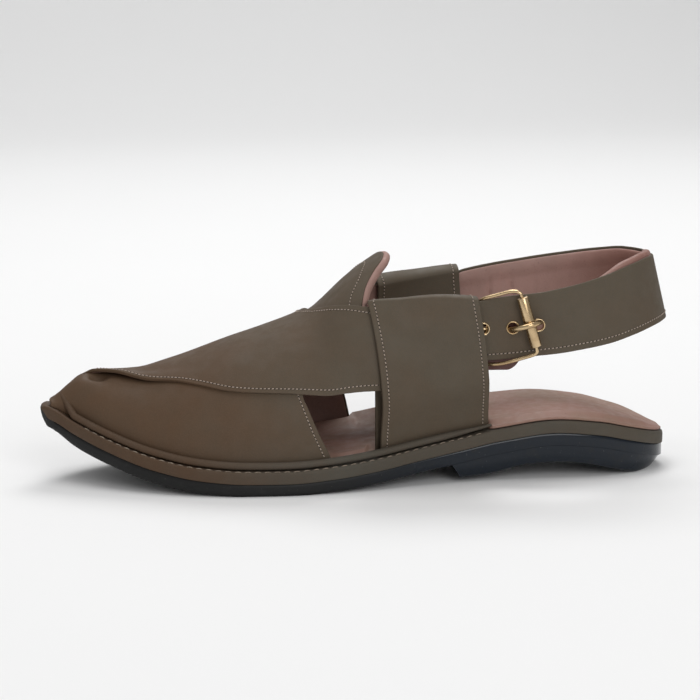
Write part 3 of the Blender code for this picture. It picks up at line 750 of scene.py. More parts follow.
def stitches(name, line, size, materials):
    """A row of stitches: short arched threads, each between two needle holes drawn as flat discs of
    painted shade.
    """
    path, normals = line
    steps = np.linalg.norm(np.diff(path, axis=0), axis=1)
    distance = np.concatenate([[0.0], np.cumsum(steps)])
    pitch = size["pitch"]
    count = max(1, int((distance[-1] - pitch) // pitch))

    def sample(values, at):
        return np.stack([np.interp(at, distance, values[:, k]) for k in range(3)], axis=-1)

    def line_frame(at):
        """The line's points and normals, and the directions ahead and aside."""
        normal, reach = unit(sample(normals, at)), 0.4
        ahead = unit(sample(path, at + reach) - sample(path, at - reach))
        return sample(path, at), normal, ahead, np.cross(normal, ahead)

    middles = (np.arange(count) + 0.75) * pitch
    centre, normal, ahead, aside = line_frame(middles)
    lean = math.radians(size["slant"])
    thread = ahead * math.cos(lean) + unit(aside) * math.sin(lean)
    spots = THREAD_ARCH["spot"] * size["length"] / 2
    rise = THREAD_ARCH["rise"] * size["height"] * THREAD_RISE
    core = centre[:, None] + thread[:, None] * by(spots) + normal[:, None] * by(rise)
    turn = full_turn(THREAD_SIDES)
    ring = around(turn, np.cross(normal, thread)[:, None, None], THREAD_FLATNESS * normal[:, None, None])
    radii = THREAD_ARCH["width"] * size["width"] / 2
    points = (core[:, :, None] + ring * radii[:, None, None]).reshape(-1, 3)
    faces = []
    for n in range(count):
        faces += ring_faces(len(spots), THREAD_SIDES, n * len(spots) * THREAD_SIDES)
    slots = [0] * len(faces) + [1] * count
    # Each needle hole is a flat near-black disc: painted shade for the hole's depth.
    centre, normal, ahead, aside = line_frame(middles + pitch / 2)
    holes = centre[:, None] + normal[:, None] * NEEDLE_HOLE_LIFT
    holes = holes + NEEDLE_HOLE * around(turn, ahead[:, None], aside[:, None])
    starts = len(points) + THREAD_SIDES * np.arange(count)
    faces += [tuple(range(start, start + THREAD_SIDES)) for start in starts]
    return finish_mesh(name, np.concatenate([points, holes.reshape(-1, 3)]), faces, materials, slots)


def seam(name, line):
    """A row of the upper's stitches."""
    stitches(name, line, STITCH, (THREAD, HOLE_SHADE))


# Materials


def scaled(color, share):
    return tuple(channel * share for channel in color)


class Looks:
    """A material whose colour, roughness and bumps are mixed. Scales are in features per metre."""

    def __init__(self, name, specular=0.5):
        self.material = bpy.data.materials.new(name)
        self.material.use_nodes = True
        self.tree = self.material.node_tree
        self.shader = self.tree.nodes["Principled BSDF"]
        self.place = self.node("TexCoord", "Object", {})
        self.set("Specular IOR Level", specular)

    def put(self, socket, given):
        """Gives a socket another node's output, or a fixed number or colour."""
        if isinstance(given, bpy.types.NodeSocket):
            self.tree.links.new(given, socket)
        else:
            socket.default_value = (*given, 1.0) if socket.type == "RGBA" else given

    def set(self, name, given):
        self.put(self.shader.inputs[name], given)

    def node(self, kind, output, inputs, **settings):
        """The output of a new node, whose inputs are named or numbered."""
        node = self.tree.nodes.new("ShaderNode" + kind)
        for name, setting in settings.items():
            setattr(node, name, setting)
        for name, given in inputs.items():
            self.put(node.inputs[name], given)
        return node.outputs[output]

    def noise(self, scale, detail=3.0, roughness=0.55, stretch=None):
        place = self.place
        if stretch:
            place = self.node("Mapping", "Vector", {"Vector": place, "Scale": stretch})
        inputs = {"Vector": place, "Scale": scale, "Detail": detail, "Roughness": roughness}
        return self.node("TexNoise", "Fac", inputs)

    def cells(self, scale):
        return self.node("TexVoronoi", "Distance", {"Vector": self.place, "Scale": scale})

    def x(self):
        return self.node("SeparateXYZ", "X", {"Vector": self.place})

    def remap(self, source, low, high, to_low=0.0, to_high=1.0):
        inputs = {"Value": source, "From Min": low, "From Max": high, "To Min": to_low, "To Max": to_high}
        return self.node("MapRange", "Result", inputs, interpolation_type="SMOOTHSTEP")

    def add(self, source, factor, other, clamp=False):
        """A source times a factor, and another source added."""
        inputs = {0: source, 1: factor, 2: other}
        return self.node("Math", 0, inputs, operation="MULTIPLY_ADD", use_clamp=clamp)

    def color(self, base, *layers):
        """A base colour and the layers over it, each a share and a colour."""
        factor, first, second, result = 0, 6, 7, 2
        for share, over in layers:
            base = self.node("Mix", result, {factor: share, first: base, second: over}, data_type="RGBA")
        self.set("Base Color", base)

    def bumps(self, *layers):
        """Bumps stacked on the shader: each layer is a height, its strength and its depth in metres."""
        below = {}
        for height, strength, depth in layers:
            inputs = {"Height": height, "Strength": strength, "Distance": depth} | below
            below = {"Normal": self.node("Bump", "Normal", inputs)}
        self.set("Normal", below["Normal"])


def make_taupe(name, grey, warm):
    """Oiled nubuck: greyer towards the heel and warmer towards the toe, with a fine nap."""
    looks = Looks(name, specular=0.22)
    toe = looks.remap(looks.x(), -0.115, 0.012, 1.0, 0.0)
    cloud = looks.remap(looks.noise(26), 0.36, 0.66)
    looks.color(
        grey,
        (looks.add(cloud, 0.28, toe, clamp=True), warm),
        (looks.remap(looks.noise(70, 4), 0.3, 0.75, 0.0, 0.22), scaled(grey, 0.72)),
        (looks.remap(looks.noise(1900, 2, 0.6), 0.35, 0.7, 0.0, 0.16), scaled(warm, 1.7)),
    )
    looks.set("Roughness", looks.remap(looks.noise(160), 0.3, 0.7, 0.56, 0.72))
    looks.bumps(
        (looks.noise(90), 0.35, 0.0006),
        (looks.noise(1500, 3, 0.6), 0.28, 0.00012),
        (looks.cells(2300), 0.16, 0.00008),
    )
    return looks.material


def make_lining(name, rose, brown, rear_shade=0.0):
    """Soft lining leather: dusty rose with browner clouds, fine pores and creases, and painted shade that
    darkens it towards the heel's rear.
    """
    looks = Looks(name, specular=0.4)
    # Painted shade: towards the back of the heel the lining turns to this darker rose.
    shaded_rose = tuple(channel * share for channel, share in zip(rose, (0.6, 0.42, 0.36)))
    looks.color(
        rose,
        (looks.remap(looks.noise(38, 4), 0.35, 0.68), brown),
        (looks.remap(looks.cells(520), 0.0, 0.16, 0.55, 0.0), scaled(brown, 0.45)),
        (looks.remap(looks.noise(900, 2, 0.7), 0.62, 0.78, 0.0, 0.5), scaled(brown, 0.5)),
        (looks.remap(looks.x(), 0.098, 0.14, 0.0, rear_shade), shaded_rose),
    )
    looks.set("Roughness", looks.remap(looks.noise(240), 0.3, 0.7, 0.5, 0.7))
    looks.bumps(
        (looks.noise(120, 4), 0.45, 0.0008),
        (looks.noise(420, 3, 0.6, (1.0, 0.35, 1.0)), 0.3, 0.0003),
        (looks.cells(1300), 0.25, 0.00012),
    )
    return looks.material


def make_rubber(name):
    """The sole's rubber: scuffed black under the forefoot and glossy navy round the heel."""
    looks = Looks(name, specular=0.3)
    looks.color(
        (0.0070, 0.0070, 0.0068),
        (looks.remap(looks.x(), -0.03, 0.045), (0.0085, 0.0125, 0.0190)),
        (looks.remap(looks.noise(210, 4, 0.65), 0.5, 0.75, 0.0, 0.55), (0.017, 0.017, 0.0165)),
        (looks.remap(looks.noise(1700, 2, 0.5), 0.75, 0.78, 0.0, 0.7), (0.33, 0.31, 0.28)),
    )
    gloss = looks.remap(looks.x(), -0.02, 0.05, 0.46, 0.1)
    looks.set("Roughness", looks.add(looks.noise(300, 4), 0.1, gloss))
    looks.bumps((looks.noise(60), 0.25, 0.0008), (looks.noise(700, 3, 0.6), 0.2, 0.00015))
    return looks.material


def make_brass(name):
    """Brass, evenly worn, with a few dark spots and faint scratches."""
    looks = Looks(name)
    looks.color(
        (0.50, 0.35, 0.19),
        (looks.remap(looks.noise(90), 0.3, 0.7), (0.70, 0.53, 0.32)),
        (looks.remap(looks.noise(1100, 2), 0.68, 0.8, 0.0, 0.25), (0.20, 0.12, 0.06)),
    )
    looks.set("Metallic", 1.0)
    looks.set("Roughness", looks.remap(looks.noise(200), 0.3, 0.7, 0.2, 0.28))
    looks.bumps((looks.noise(700, 2, 0.5, (1.0, 1.0, 0.2)), 0.02, 0.00001))
    return looks.material


def make_thread(name, light, dark):
    """Spun thread with the twist of its strands."""
    looks = Looks(name)
    looks.color(light, (looks.remap(looks.noise(1300, 2), 0.35, 0.65), dark))
    looks.set("Roughness", 0.7)
    looks.bumps((looks.noise(4200, 2), 0.6, 0.0001))
    return looks.material


def make_floor(name):
    """A plain pale floor with a trace of unevenness."""
    looks = Looks(name, specular=0.1)
    looks.color((0.875,) * 3, (looks.remap(looks.noise(3, 2), 0.3, 0.7), (0.88,) * 3))
    looks.set("Roughness", 0.9)
    return looks.material


TAUPE = make_taupe("taupe_nubuck", (0.094, 0.078, 0.056), (0.094, 0.055, 0.031))
TAUPE_SOLE = make_taupe("taupe_sole_edge", (0.078, 0.074, 0.060), (0.080, 0.047, 0.027))
# The heel strap's lining gets painted shade towards the back of the heel.
ROSE = make_lining("rose_lining", (0.360, 0.212, 0.180), (0.300, 0.180, 0.150), rear_shade=0.75)
ROSE_PAD = make_lining("rose_insole", (0.300, 0.172, 0.136), (0.265, 0.168, 0.122))
ROSE_DARK = make_lining("rose_backing", (0.120, 0.050, 0.042), (0.080, 0.040, 0.034))
RUBBER = make_rubber("dark_rubber")
BRASS = make_brass("aged_brass")
THREAD = make_thread("light_thread", (0.42, 0.34, 0.28), (0.30, 0.235, 0.185))
WELT_THREAD = make_thread("sole_thread", (0.30, 0.24, 0.18), (0.16, 0.12, 0.09))
# Painted shade: near-black discs stand in for the shade inside the needle holes.
HOLE_SHADE = make_thread("needle_hole_shade", (0.018, 0.012, 0.009), (0.012, 0.009, 0.007))


# The sole


SOLE_COLUMNS = np.linspace(0, 1, 260)
SOLE_ROWS = np.concatenate(
    [[0, 0.01, 0.025, 0.05, 0.08], np.linspace(0.12, 0.88, 16), [0.92, 0.95, 0.975, 0.99, 1]]
)
INSOLE_HEIGHTS = (0.0, 0.12, 0.3, 0.5, 0.7, 0.85, 0.95, 1.0)


def build_midsole():
    """The wrapped sole slab: a rounded upper lip over a straight edge."""
    lip, lip_start = 1.1, 0.72
    base, base_end = 0.5, 0.15
    tip_top = 0.9

    def level(t, u, v):
        inset = lip * corner((t - lip_start) / (1 - lip_start)) + base * corner((base_end - t) / base_end)
        tip = inset * TOE_TIP_ROUNDING + mix(TIP_WRAP["front"], tip_top, t)
        along = sole_along(u, tip, SOLE_LENGTH - inset)
        side = inset + TIP_WRAP["depth"] * (1 - t) * (1 - ease(along / TIP_WRAP["length"]))
        return vector(to_x(along), across(along, v, side, side), seat(along) - MIDSOLE_THICK * (1 - t))

    heights = (0.0, 0.03, 0.08, 0.15, 0.35, 0.55, 0.72, 0.82, 0.9, 0.96, 0.99, 1.0)
    midsole = shell("midsole_edge", level, SOLE_COLUMNS, SOLE_ROWS, heights, (TAUPE_SOLE,))
    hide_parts("midsole")


def build_outsole():
    """The rubber sole, which is cut back below the toe tip and wraps up over its front."""
    edge_end, lip_start, lip = 0.3, 0.9, 0.3
    front_edge, heel_edge = 0.9, 0.1
    heel_start, change = 176.0, 10.0
    undercut_top, undercut, undercut_share = 0.4, 3.4, 0.08

    def level(t, u, v):
        edge = mix(front_edge, heel_edge, ease((sole_along(u) - heel_start) / change))
        lip_share = max(0.0, (t - lip_start) / (1 - lip_start))
        inset = OUTSOLE_INSET + edge * corner((edge_end - t) / edge_end) + lip * lip_share
        along = sole_along(u, 0.0, SOLE_LENGTH) + inset * np.cos(math.pi * u)
        toe_undercut = undercut_top + undercut * (1 - t) ** 2
        along = along + toe_undercut * (1 - ease(u / undercut_share))
        wrap = TIP_WRAP["height"] * (1 - ease(along / TIP_WRAP["length"]))
        top = seat(along) - MIDSOLE_THICK - SOLE_GAP + wrap
        z = mix(tread_height(along), top, t)
        return vector(to_x(along), across(along, v, inset, inset), z)

    heights = (0.0, 0.04, 0.12, 0.3, 0.5, 0.7, 0.9, 0.96, 1.0)
    outsole = shell("outsole_rubber", level, SOLE_COLUMNS, SOLE_ROWS, heights, (RUBBER,))
    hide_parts("outsole")


def build_heel():
    """The arched heel: its side bulges a little, and its tread edge is rounded."""
    inset_bottom, inset_top, bulge = 2.0, 1.0, 0.35
    edge, edge_end = 0.8, 0.16
    rounding_start = 262.0

    def level(t, u, v):
        inset = mix(inset_bottom, inset_top, t) - bulge * math.sin(math.pi * t)
        inset = inset + edge * corner((edge_end - t) / edge_end)
        front = mix(HEEL_FRONT["bottom"], HEEL_FRONT["top"], t)
        rear = mix(HEEL_REAR["bottom"], HEEL_REAR["top"], t)
        along = mix(front, rear, np.sin(math.pi * u / 2))
        rear_share = ease((along - rounding_start) / (rear - rounding_start))
        plan_along = along + HEEL_ROUNDNESS * (SOLE_LENGTH - rear) * rear_share
        z = mix(value(HEEL_TREAD, "height", along), tread_height(along) - HEEL_GAP, t)
        return vector(to_x(along), across(plan_along, v, inset, inset), z)

    heights = (0.0, 0.02, 0.06, 0.11, 0.16, 0.35, 0.55, 0.75, 0.9, 1.0)
    heel = shell("heel_block", level, np.linspace(0, 1, 120), SOLE_ROWS, heights, (RUBBER,))
    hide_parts("heel")


def build_insole():
    """The padded insole, with an arch at its inner side and shallow dents from wear."""
    rng = np.random.default_rng(SEED)
    dents = [
        (rng.uniform(40, 285), rng.uniform(0.15, 0.85), rng.uniform(5, 14), rng.uniform(-0.25, 0.25))
        for _ in range(26)
    ]
    rim, sole_width, arch_spread = 0.7, 55.0, 0.4

    def level(t, u, v):
        inset = rim * rounded(t)
        along = sole_along(u, INSOLE_ENDS[0] + inset, INSOLE_ENDS[1] - inset, crowding=0.5)
        outer = value(INSOLE_INSET, "outer", along) + inset
        inner = value(INSOLE_INSET, "inner", along) + inset
        edge = ease(np.minimum(v, 1 - v) / INSOLE_EDGE_SHARE)
        end = ease(np.minimum(u, 1 - u) / INSOLE_END_SHARE)
        worn = sum(
            depth * np.exp(-(((along - place) / size) ** 2) - ((v - share) * sole_width / size) ** 2)
            for place, share, size, depth in dents
        )
        arch = np.exp(-(((along - INSOLE_ARCH["along"]) / INSOLE_ARCH["length"]) ** 2))
        arch = INSOLE_ARCH["height"] * arch * ease((v - INSOLE_ARCH["start"]) / arch_spread)
        z = seat(along) + GAP + (INSOLE_RIM + INSOLE_PAD * edge * end + arch + worn * edge) * t
        return vector(to_x(along), across(along, v, outer, inner), z)

    insole = shell("insole_pad", level, SOLE_COLUMNS, np.linspace(0, 1, 70), INSOLE_HEIGHTS, (ROSE_PAD,))
    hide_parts("insole")


def welt_path():
    """The raised welt: beside the upper at the sole's edge, and up over the front of the toe."""
    count, crowding, rise = 28, 1.6, 1.12
    along = mix(WELT_TOE_START, WELT_END, (np.arange(count, -1, -1) / count) ** crowding)

    def side_path(side):
        height = seat(along) + GAP + WELT_RADIUS * rise
        return vector(to_x(along), inset_edge(along, side, WELT_INSET), height)

    swing = math.pi * np.arange(1, WELT_TOE_POINTS) / WELT_TOE_POINTS
    radius = WELT_RADIUS * mix(1.0, WELT_TOE_NARROWING, np.sin(swing))
    over_toe = last_offset(
        WELT_TOE_START - WELT_TOE_REACH * np.sin(swing),
        90 - WELT_TOE_TURN * np.cos(swing),
        UNDER_STRAP_WALL[1] + radius + WELT_TOE_LIFT,
    )
    return np.concatenate([side_path("outer"), over_toe, side_path("inner")[::-1]])


def build_welt():
    """The welt thins out over the toe and at its two ends."""
    path = welt_path()
    last = len(path) - 1
    step = np.arange(last + 1)
    narrowing = mix(WELT_TOE_NARROWING, 1.0, ease(np.abs(step - last / 2) / (WELT_TOE_POINTS / 2)))
    end_width, end_steps = 0.35, 2.0
    tapering = mix(end_width, 1.0, ease(np.minimum(step, last - step) / end_steps))
    radii = WELT_RADIUS * narrowing * tapering
    soft = soften(np.concatenate([path, radii[:, None]], axis=1), 3)
    welt = tube("welt_cord", soft[:, :3], soft[:, 3], (TAUPE_SOLE,))
    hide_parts("welt")


def build_welt_stitches():
    """The long stitches that lie on the sole's edge outside the welt."""
    start, sunk = 15.0, 0.12
    for side, outward in (("outer", -0.45), ("inner", 0.45)):
        along = np.linspace(WELT_END - 3, start, 300)
        points = vector(to_x(along), inset_edge(along, side, WELT_STITCH_INSET), seat(along) - sunk)
        normals = np.broadcast_to(unit(np.array([0.0, outward, 1.0])), points.shape)
        row = stitches(f"welt_stitches_{side}", (points, normals), WELT_STITCH, (WELT_THREAD, HOLE_SHADE))


# The upper


def lip_lift(share, v):
    """The over strap's front edge stands off the toe in a shallow lip."""
    nearness = np.exp(-(((share - LIP_MIDDLE) / LIP_SPREAD) ** 2))
    return LIP_LIFT * nearness * (1 - ease(v / LIP_DEPTH))


def under_lift(_share, _v, along, turn):
    """The under strap dips behind the toe, below the over strap's edge."""
    dip = TOE_DIP
    reach = np.hypot((along - dip["along"]) / dip["length"], (turn - dip["turn"]) / dip["turns"])
    return -dip["depth"] * np.exp(-(reach**2))


def over_lift(share, v, along, _turn):
    """The over strap lies close on the inner side of the toe and stands off it on the outer side."""
    share_start, share_fade, along_start, along_fade = 0.12, 0.1, 30.0, 30.0
    near_foot = 1 - ease((share - share_start) / share_fade)
    near_toe = 1 - ease((along - along_start) / along_fade)
    return lip_lift(share, v) - OVER_STRAP_SETTLING * near_foot * near_toe


def strap_place(rows, lift):
    """A front strap's surface at any offset from the last."""

    def place(u, v, offset):
        share = u**FRONT_STRAP_CROWDING
        along = mix(value(rows, "front", share), value(rows, "rear", share), v)
        turn = mix(value(rows, "front_turn", share), value(rows, "rear_turn", share), v)
        return last_offset(along, turn, offset + lift(share, v, along, turn))

    return place


def tongue_place(u, v, offset):
    turn = mix(*TONGUE_TURNS, v)
    along = mix(TONGUE_START, value(TONGUE_REAR, "along", turn), u * TONGUE_ROLL_SHARE)
    return last_offset(along, turn, offset)


def build_under_strap():
    place = strap_place(UNDER_STRAP, under_lift)
    us, vs = shares_for(170, 1.2), shares_for(110, 1.2)
    strap = leather("under_strap", place, *UNDER_STRAP_WALL, us, vs, (170, 100), (TAUPE, ROSE))
    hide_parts("upper")
    seam("under_strap_stitches", inset_line(place, "v1", STITCH_INSET, UNDER_STRAP_WALL[1], (0.03, 0.5)))


def build_over_strap():
    place = strap_place(OVER_STRAP, over_lift)
    us, vs = shares_for(200, 1.2), shares_for(110, 1.2)
    strap = leather("over_strap", place, *OVER_STRAP_WALL, us, vs, (200, 80), (TAUPE, ROSE))
    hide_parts("upper")
    for name, edge, spread in (("front", "v0", (0.28, 0.93)), ("rear", "v1", (0.03, 0.93))):
        line = inset_line(place, edge, STITCH_INSET, OVER_STRAP_WALL[1], spread, 500)
        seam(f"over_strap_{name}_stitches", line)


def build_tongue():
    us, vs = shares_for(45, 1.0), shares_for(90, 1.0)
    tongue = leather("tongue", tongue_place, *TONGUE_WALL, us, vs, (45, 90), (TAUPE, ROSE))
    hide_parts("upper")

    share, roll_depth, thin, thin_share = np.linspace(0.0, 1.0, 90), 0.9, 0.6, 0.12
    rear = tongue_place(np.ones(90), share, (TONGUE_WALL[0] + TONGUE_WALL[1]) / 2 - roll_depth)
    radii = TONGUE_ROLL_RADIUS * mix(thin, 1.0, ease(np.minimum(share, 1 - share) / thin_share))
    roll = tube("tongue_roll", rear, radii, (ROSE,))

    turn = np.linspace(*TONGUE_STITCH_TURNS, 200)
    turns, alongs = np.array(TONGUE_LINE[::-1]).T
    middle, far_end = turns[-1], turns[1]
    mirrored = np.maximum(2 * middle - turn, far_end)
    along = np.interp(np.where(turn < middle, turn, mirrored), turns, alongs)
    point, normal, _ = last_frame(along, turn)
    seam("tongue_stitches", (point + normal * TONGUE_WALL[1], normal))


# The side straps


def side_strap_place(side):
    """A side strap: a band that rises outside the foot, folds over and comes down inside it."""
    strap = SIDE_STRAPS[side]
    fold_start, fold_end = LOOP_FOLD_SHARES

    def place(u, v, skin):
        outside, inside = LOOP_OUTSIDE + skin, LOOP_INSIDE[side] - skin
        foot = strap["out"] + skin
        fold = LOOP_FOLD_HEIGHT - (LOOP_LEATHER - skin)
        rise = np.minimum(np.minimum(v, 1 - v) / fold_start, 1.0)
        front = mix(strap["front_foot"], strap["front_top"], rise)
        rear = mix(strap["rear_foot"], strap["rear_top"], rise)
        along = mix(front, rear, u)
        turn = value(SIDE_STRAP_TOP, side, along) * rise
        swing = math.pi * np.clip((v - fold_start) / (fold_end - fold_start), 0, 1)
        folded = (outside + inside) / 2 + (outside - inside) / 2 * np.cos(swing)
        offset = np.where(v <= fold_start, mix(foot, outside, ease(rise / LOOP_SPREAD_SHARE)), folded)
        if side == "inner":
            turn = 180 - turn
        point, normal, upward = last_frame(along, turn)
        if side == "inner":
            upward = -upward
        return above_seat(point + normal * by(offset) + upward * by(fold * np.sin(swing)))

    return place


def build_side_strap(side):
    place = side_strap_place(side)
    us = shares_for(48, 1.0)
    vs = np.linspace(0, 1, 190)
    strap = leather(f"side_strap_{side}_leather", place, 0.0, LOOP_LEATHER, us, vs, (48, 160), (TAUPE,))
    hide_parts(f"side_strap_{side}")
    for name, edge in (("front", "u0"), ("rear", "u1")):
        line = inset_line(place, edge, STITCH_INSET, LOOP_LEATHER, (0.004, 0.996), 400)
        seam(f"side_strap_{side}_{name}_stitches", line)


# The heel strap


def heel_strap_middle(way, z=BUCKLE_HEIGHT):
    """The strap's middle surface: a ring round the heel, then ends that lie against the last."""
    way, z = np.broadcast_arrays(np.asarray(way, float), z)
    swing = math.pi / 2 * (1 - np.minimum(np.abs(way) / RING_SHARE, 1.0))
    ring_x = HEEL_RING_CENTRE + HEEL_RING_LENGTH * np.sin(swing)
    ring_y = HEEL_RING_HALF_WIDTH * np.cos(swing)
    share = np.clip((np.abs(way) - RING_SHARE) / (1 - RING_SHARE), 0, 1)
    end_x = mix(HEEL_RING_CENTRE, HEEL_STRAP_INNER_END, share)
    beside = np.where(way < 0, LAST_WIDTHS["outer"].at(end_x, z), LAST_WIDTHS["inner"].at(end_x, z))
    end_y = mix(HEEL_RING_HALF_WIDTH, beside, ease(share / HEEL_STRAP_SETTLING))
    in_ring = np.abs(way) < RING_SHARE
    y = np.where(in_ring, ring_y, end_y)
    return vector(np.where(in_ring, ring_x, end_x), np.where(way < 0, -y, y), 0.0)


def heel_strap_outward(way):
    way = np.asarray(way, float)
    ahead = heel_strap_middle(np.minimum(way + 0.005, 1.0))
    behind = heel_strap_middle(np.maximum(way - 0.005, -1.0))
    forward = ahead - behind
    return unit(vector(forward[..., 1], -forward[..., 0], 0.0))


def heel_strap_point(way, rise, offset):
    """A point of the strap: rise is 0 at its lower edge, offset is outward from its outer face."""
    low, high = value(HEEL_STRAP, "low", way), value(HEEL_STRAP, "high", way)
    lean = HEEL_STRAP_LEAN * ease(1 - np.abs(way) / RING_SHARE) * (0.5 - rise)
    z = mix(low, high, rise)
    point = heel_strap_middle(way, z)
    point = point + heel_strap_outward(way) * by(lean + offset + HEEL_STRAP_THICK / 2)
    point[..., 2] = z
    return point


def heel_strap_padding(way):
    growth = ease((1 - np.abs(way) / RING_SHARE) * HEEL_PADDING_GROWTH)
    return mix(HEEL_STRAP_THICK, HEEL_STRAP_PADDED, growth)


def strap_way_at(x):
    """The way along the strap's outer stretch at a given x."""
    share = (HEEL_RING_CENTRE - x) / (HEEL_RING_CENTRE - HEEL_STRAP_INNER_END)
    return mix(-RING_SHARE, -1.0, share)


def beside_strap(x, z, out):
    """A point at a distance from the outer face of the strap's outer stretch."""
    way = strap_way_at(np.asarray(x, float))
    outward = heel_strap_outward(way)
    point = heel_strap_middle(way, z) + outward * by(np.asarray(out) + HEEL_STRAP_THICK / 2)
    point[..., 2] = z
    return point


def punch_holes(piece, places):
    """Cuts some of the eyelets' holes through a piece of the strap."""
    radius, reach, core = EYELET_BARREL - 0.05, 7.0, 0.001
    profile = ((core, -reach), (radius, -reach), (radius, reach), (core, reach))
    punches = []
    for x, z in places:
        outward = heel_strap_outward(strap_way_at(x))
        punches.append(lathe("punch", profile, beside_strap(x, z, 0.0), outward, (), segments=28))
    for punch in punches:
        cut = piece.modifiers.new("Hole", "BOOLEAN")
        cut.operation = "DIFFERENCE"
        cut.object = punch
    graph = bpy.context.evaluated_depsgraph_get()
    mesh = bpy.data.meshes.new_from_object(piece.evaluated_get(graph))
    piece.modifiers.clear()
    piece.data = mesh
    for punch in punches:
        bpy.data.objects.remove(punch)


def build_heel_strap():
    """The strap's outer leather, and its padded lining, which rolls up over the top round the heel."""

    def outer_place(u, v, offset):
        return heel_strap_point(2 * u - 1, v, offset)

    def lining_place(u, v, depth):
        way = 2 * u - 1
        lining, full = HEEL_LINING, LINING_FULLNESS
        round_heel = ease((1 - np.abs(way - lining["middle"]) / lining["reach"]) * 2.0)
        height = value(HEEL_STRAP, "high", way) - value(HEEL_STRAP, "low", way)
        top = mix(-lining["drop"], lining["rise"], round_heel)
        rise = lining["hem"] + (1 - lining["hem"] + top / height) * v
        arc = np.sin(math.pi * np.clip(v, 0, 1))
        band = np.sin(math.pi * np.clip((v - full["band_from"]) / full["band_wide"], 0, 1))
        roll = LINING_ROLL["out"] * ease((v - LINING_ROLL["from"]) / (1 - LINING_ROLL["from"]))
        creases = 0.0
        for crease in LINING_CREASES:
            beside = way - crease["way"] - crease["lean"] * (v - 0.5)
            creases = creases + crease["depth"] * np.exp(-((beside / crease["width"]) ** 2))
        fullness = (full["puff"] * arc + roll) * round_heel + full["band"] * band
        inner = heel_strap_padding(way) + fullness - creases * arc
        return heel_strap_point(way, rise, -mix(lining["behind"], inner, depth))

    us, vs = shares_for(260, 0.9), shares_for(30, 0.9)
    strap = leather("heel_strap_leather", outer_place, -1.2, 0.0, us, vs, (250, 28), (TAUPE,), rim=0.45)
    punch_holes(strap, EYELETS)
    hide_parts("heel_strap")

    lining = leather("heel_strap_lining", lining_place, 0.0, 1.0, us, vs, (250, 28), (ROSE,), rim=0.9)
    punch_holes(lining, EYELETS[:2])
    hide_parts("heel_strap")

    seam("heel_strap_stitches", inset_line(outer_place, "v0", STITCH_INSET, 0.0, (0.02, 0.98), 700))


# The buckle and the eyelets


def build_buckle_tab():
    tab = BUCKLE_TAB
    half = (tab["high"] - tab["low"]) / 2
    round_start = tab["rear"] - half * TAB_ROUND_SHARE

    def place(u, v, offset):
        x = mix(tab["front"], tab["rear"], u)
        reach = np.maximum(0.0, (x - round_start) / (tab["rear"] - round_start))
        narrow = np.maximum(TAB_END_SHARE, np.sqrt(np.maximum(0.0, 1 - reach**2)))
        height = (tab["high"] + tab["low"]) / 2 + half * narrow * (2 * v - 1)
        return beside_strap(x, height, offset)

    end_crowding = 1.6
    shares = 1 - (1 - np.linspace(0, 1, 50)) ** end_crowding
    low, high = tab["out"] - tab["thick"], tab["out"]
    rows = np.linspace(0, 1, 36)
    piece = leather("buckle_backing", place, low, high, shares, rows, (30, 28), (ROSE_DARK,))
    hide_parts("buckle_tab")


def buckle_points(rows):
    return beside_strap(rows["x"], rows["z"], rows["out"])


def build_buckle():
    path = buckle_points(BUCKLE_FRAME)
    top, bottom = path[0], path[1]
    frame_wire = tube("buckle_wire", soften(path, 3, closed=True), WIRE_RADIUS, (BRASS,), closed=True)
    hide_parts("buckle_frame")

    start, end = (mix(top, bottom, share) for share in ROLLER_SHARE)
    half = np.linalg.norm(end - start) / 2
    chamfer, recess = 0.35, 0.1
    upper_profile = (
        (ROLLER_BORE, half - recess),
        (ROLLER_RADIUS - chamfer, half),
        (ROLLER_RADIUS - chamfer * 0.3, half - chamfer * 0.3),
        (ROLLER_RADIUS, half - chamfer),
    )
    profile = (*upper_profile, *((radius, -height) for radius, height in upper_profile[::-1]))
    roller = lathe("roller", profile, (start + end) / 2, start - end, (BRASS,), segments=40)
    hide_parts("buckle_roller")

    prong_path = soften(buckle_points(PRONG), 3)
    tip_width, tip_share = 0.85, 0.2
    tip = ease((np.linspace(0, 1, len(prong_path)) - 1 + tip_share) / tip_share)
    taper = mix(1.0, tip_width, tip)
    prong = tube("prong", prong_path, PRONG_RADIUS * taper, (BRASS,), segments=14)
    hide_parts("buckle_prong")


def build_eyelets():
    """Rolled brass rings: a rounded flange over the leather and a barrel through it."""
    middle = (EYELET_HOLE + EYELET_FLANGE) / 2
    half = (EYELET_FLANGE - EYELET_HOLE) / 2
    flange_foot, barrel_top = 0.05, 0.02
    profile = [
        (middle + half * math.cos(turn), flange_foot + EYELET_FLANGE_THICK * math.sin(turn))
        for turn in np.linspace(math.pi, 0, 9)
    ]
    profile += [(EYELET_BARREL, barrel_top), (EYELET_BARREL, -HEEL_STRAP_THICK)]
    profile.append((EYELET_HOLE, -HEEL_STRAP_THICK))
    for number, (x, z) in enumerate(EYELETS, 1):
        outward = heel_strap_outward(strap_way_at(x))
        eyelet = lathe(f"eyelet_ring_{number}", profile, beside_strap(x, z, 0.0), outward, (BRASS,))
        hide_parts(f"eyelet_{number}")


# The stage


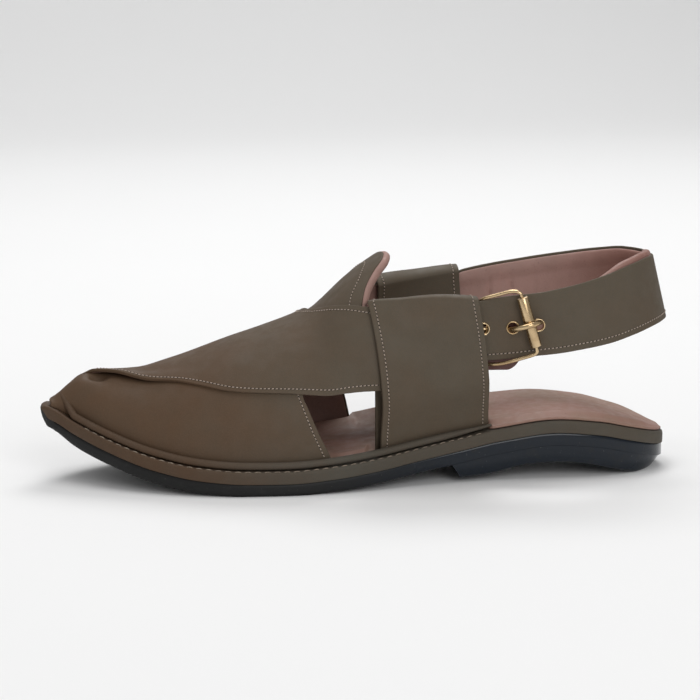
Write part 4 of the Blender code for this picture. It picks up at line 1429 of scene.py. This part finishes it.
def build_stage():
    """A pale floor that curves up behind the shoe, and soft lights."""
    front, bend_start, bend, top, half_width = -2.5, 1.5, 0.8, 4.5, 4.5
    profile = [(front, 0.0), (bend_start, 0.0)]
    profile += [
        (bend_start + bend * math.sin(turn), bend * (1 - math.cos(turn)))
        for turn in np.linspace(0.1, math.pi / 2, 16)
    ]
    profile.append((bend_start + bend, top))
    points = [(x, y, z) for y, z in profile for x in (-half_width, half_width)]
    faces = [(2 * i, 2 * i + 1, 2 * i + 3, 2 * i + 2) for i in range(len(profile) - 1)]
    mesh = bpy.data.meshes.new("floor")
    mesh.from_pydata(points, [], faces)
    mesh.materials.append(make_floor("pale_floor"))
    mesh.shade_smooth()
    floor = bpy.data.objects.new("floor", mesh)
    bpy.context.scene.collection.objects.link(floor)

    world = bpy.data.worlds.new("studio")
    bpy.context.scene.world = world
    world.use_nodes = True
    background = world.node_tree.nodes["Background"]
    background.inputs["Color"].default_value = (1.0, 1.0, 1.0, 1.0)
    background.inputs["Strength"].default_value = WORLD_STRENGTH

    lit_point = Vector((0, 0, 0.05))
    for item in LIGHTS:
        lamp = bpy.data.lights.new(item["name"], "AREA")
        lamp.shape = "DISK"
        lamp.size = item["size"]
        lamp.energy = item["power"]
        light = bpy.data.objects.new(item["name"], lamp)
        light.location = item["at"]
        light.rotation_euler = (lit_point - light.location).to_track_quat("-Z", "Y").to_euler()
        bpy.context.scene.collection.objects.link(light)


def build_camera():
    azimuth, elevation = math.radians(CAMERA["azimuth"]), math.radians(CAMERA["elevation"])
    level = math.cos(elevation)
    forward = Vector((math.sin(azimuth) * level, math.cos(azimuth) * level, -math.sin(elevation)))
    right = Vector((math.cos(azimuth), -math.sin(azimuth), 0.0))
    upward = right.cross(forward)
    data = bpy.data.cameras.new("camera")
    data.sensor_width = CAMERA["sensor"]
    data.lens = CAMERA["focal_pixels"] / IMAGE_WIDTH * CAMERA["sensor"]
    camera = bpy.data.objects.new("camera", data)
    turn = Matrix((right, upward, -forward)).transposed().to_4x4()
    place = Vector(CAMERA["target"]) - forward * CAMERA["distance"]
    camera.matrix_world = Matrix.Translation(place) @ turn
    bpy.context.scene.collection.objects.link(camera)
    bpy.context.scene.camera = camera


def main():
    bpy.context.scene.view_settings.view_transform = "Standard"
    build_outsole()
    build_heel()
    build_midsole()
    build_insole()
    build_welt()
    build_welt_stitches()
    build_under_strap()
    build_over_strap()
    build_tongue()
    for side in SIDE_STRAPS:
        build_side_strap(side)
    build_heel_strap()
    build_buckle_tab()
    build_buckle()
    build_eyelets()
    build_stage()
    build_camera()


main()
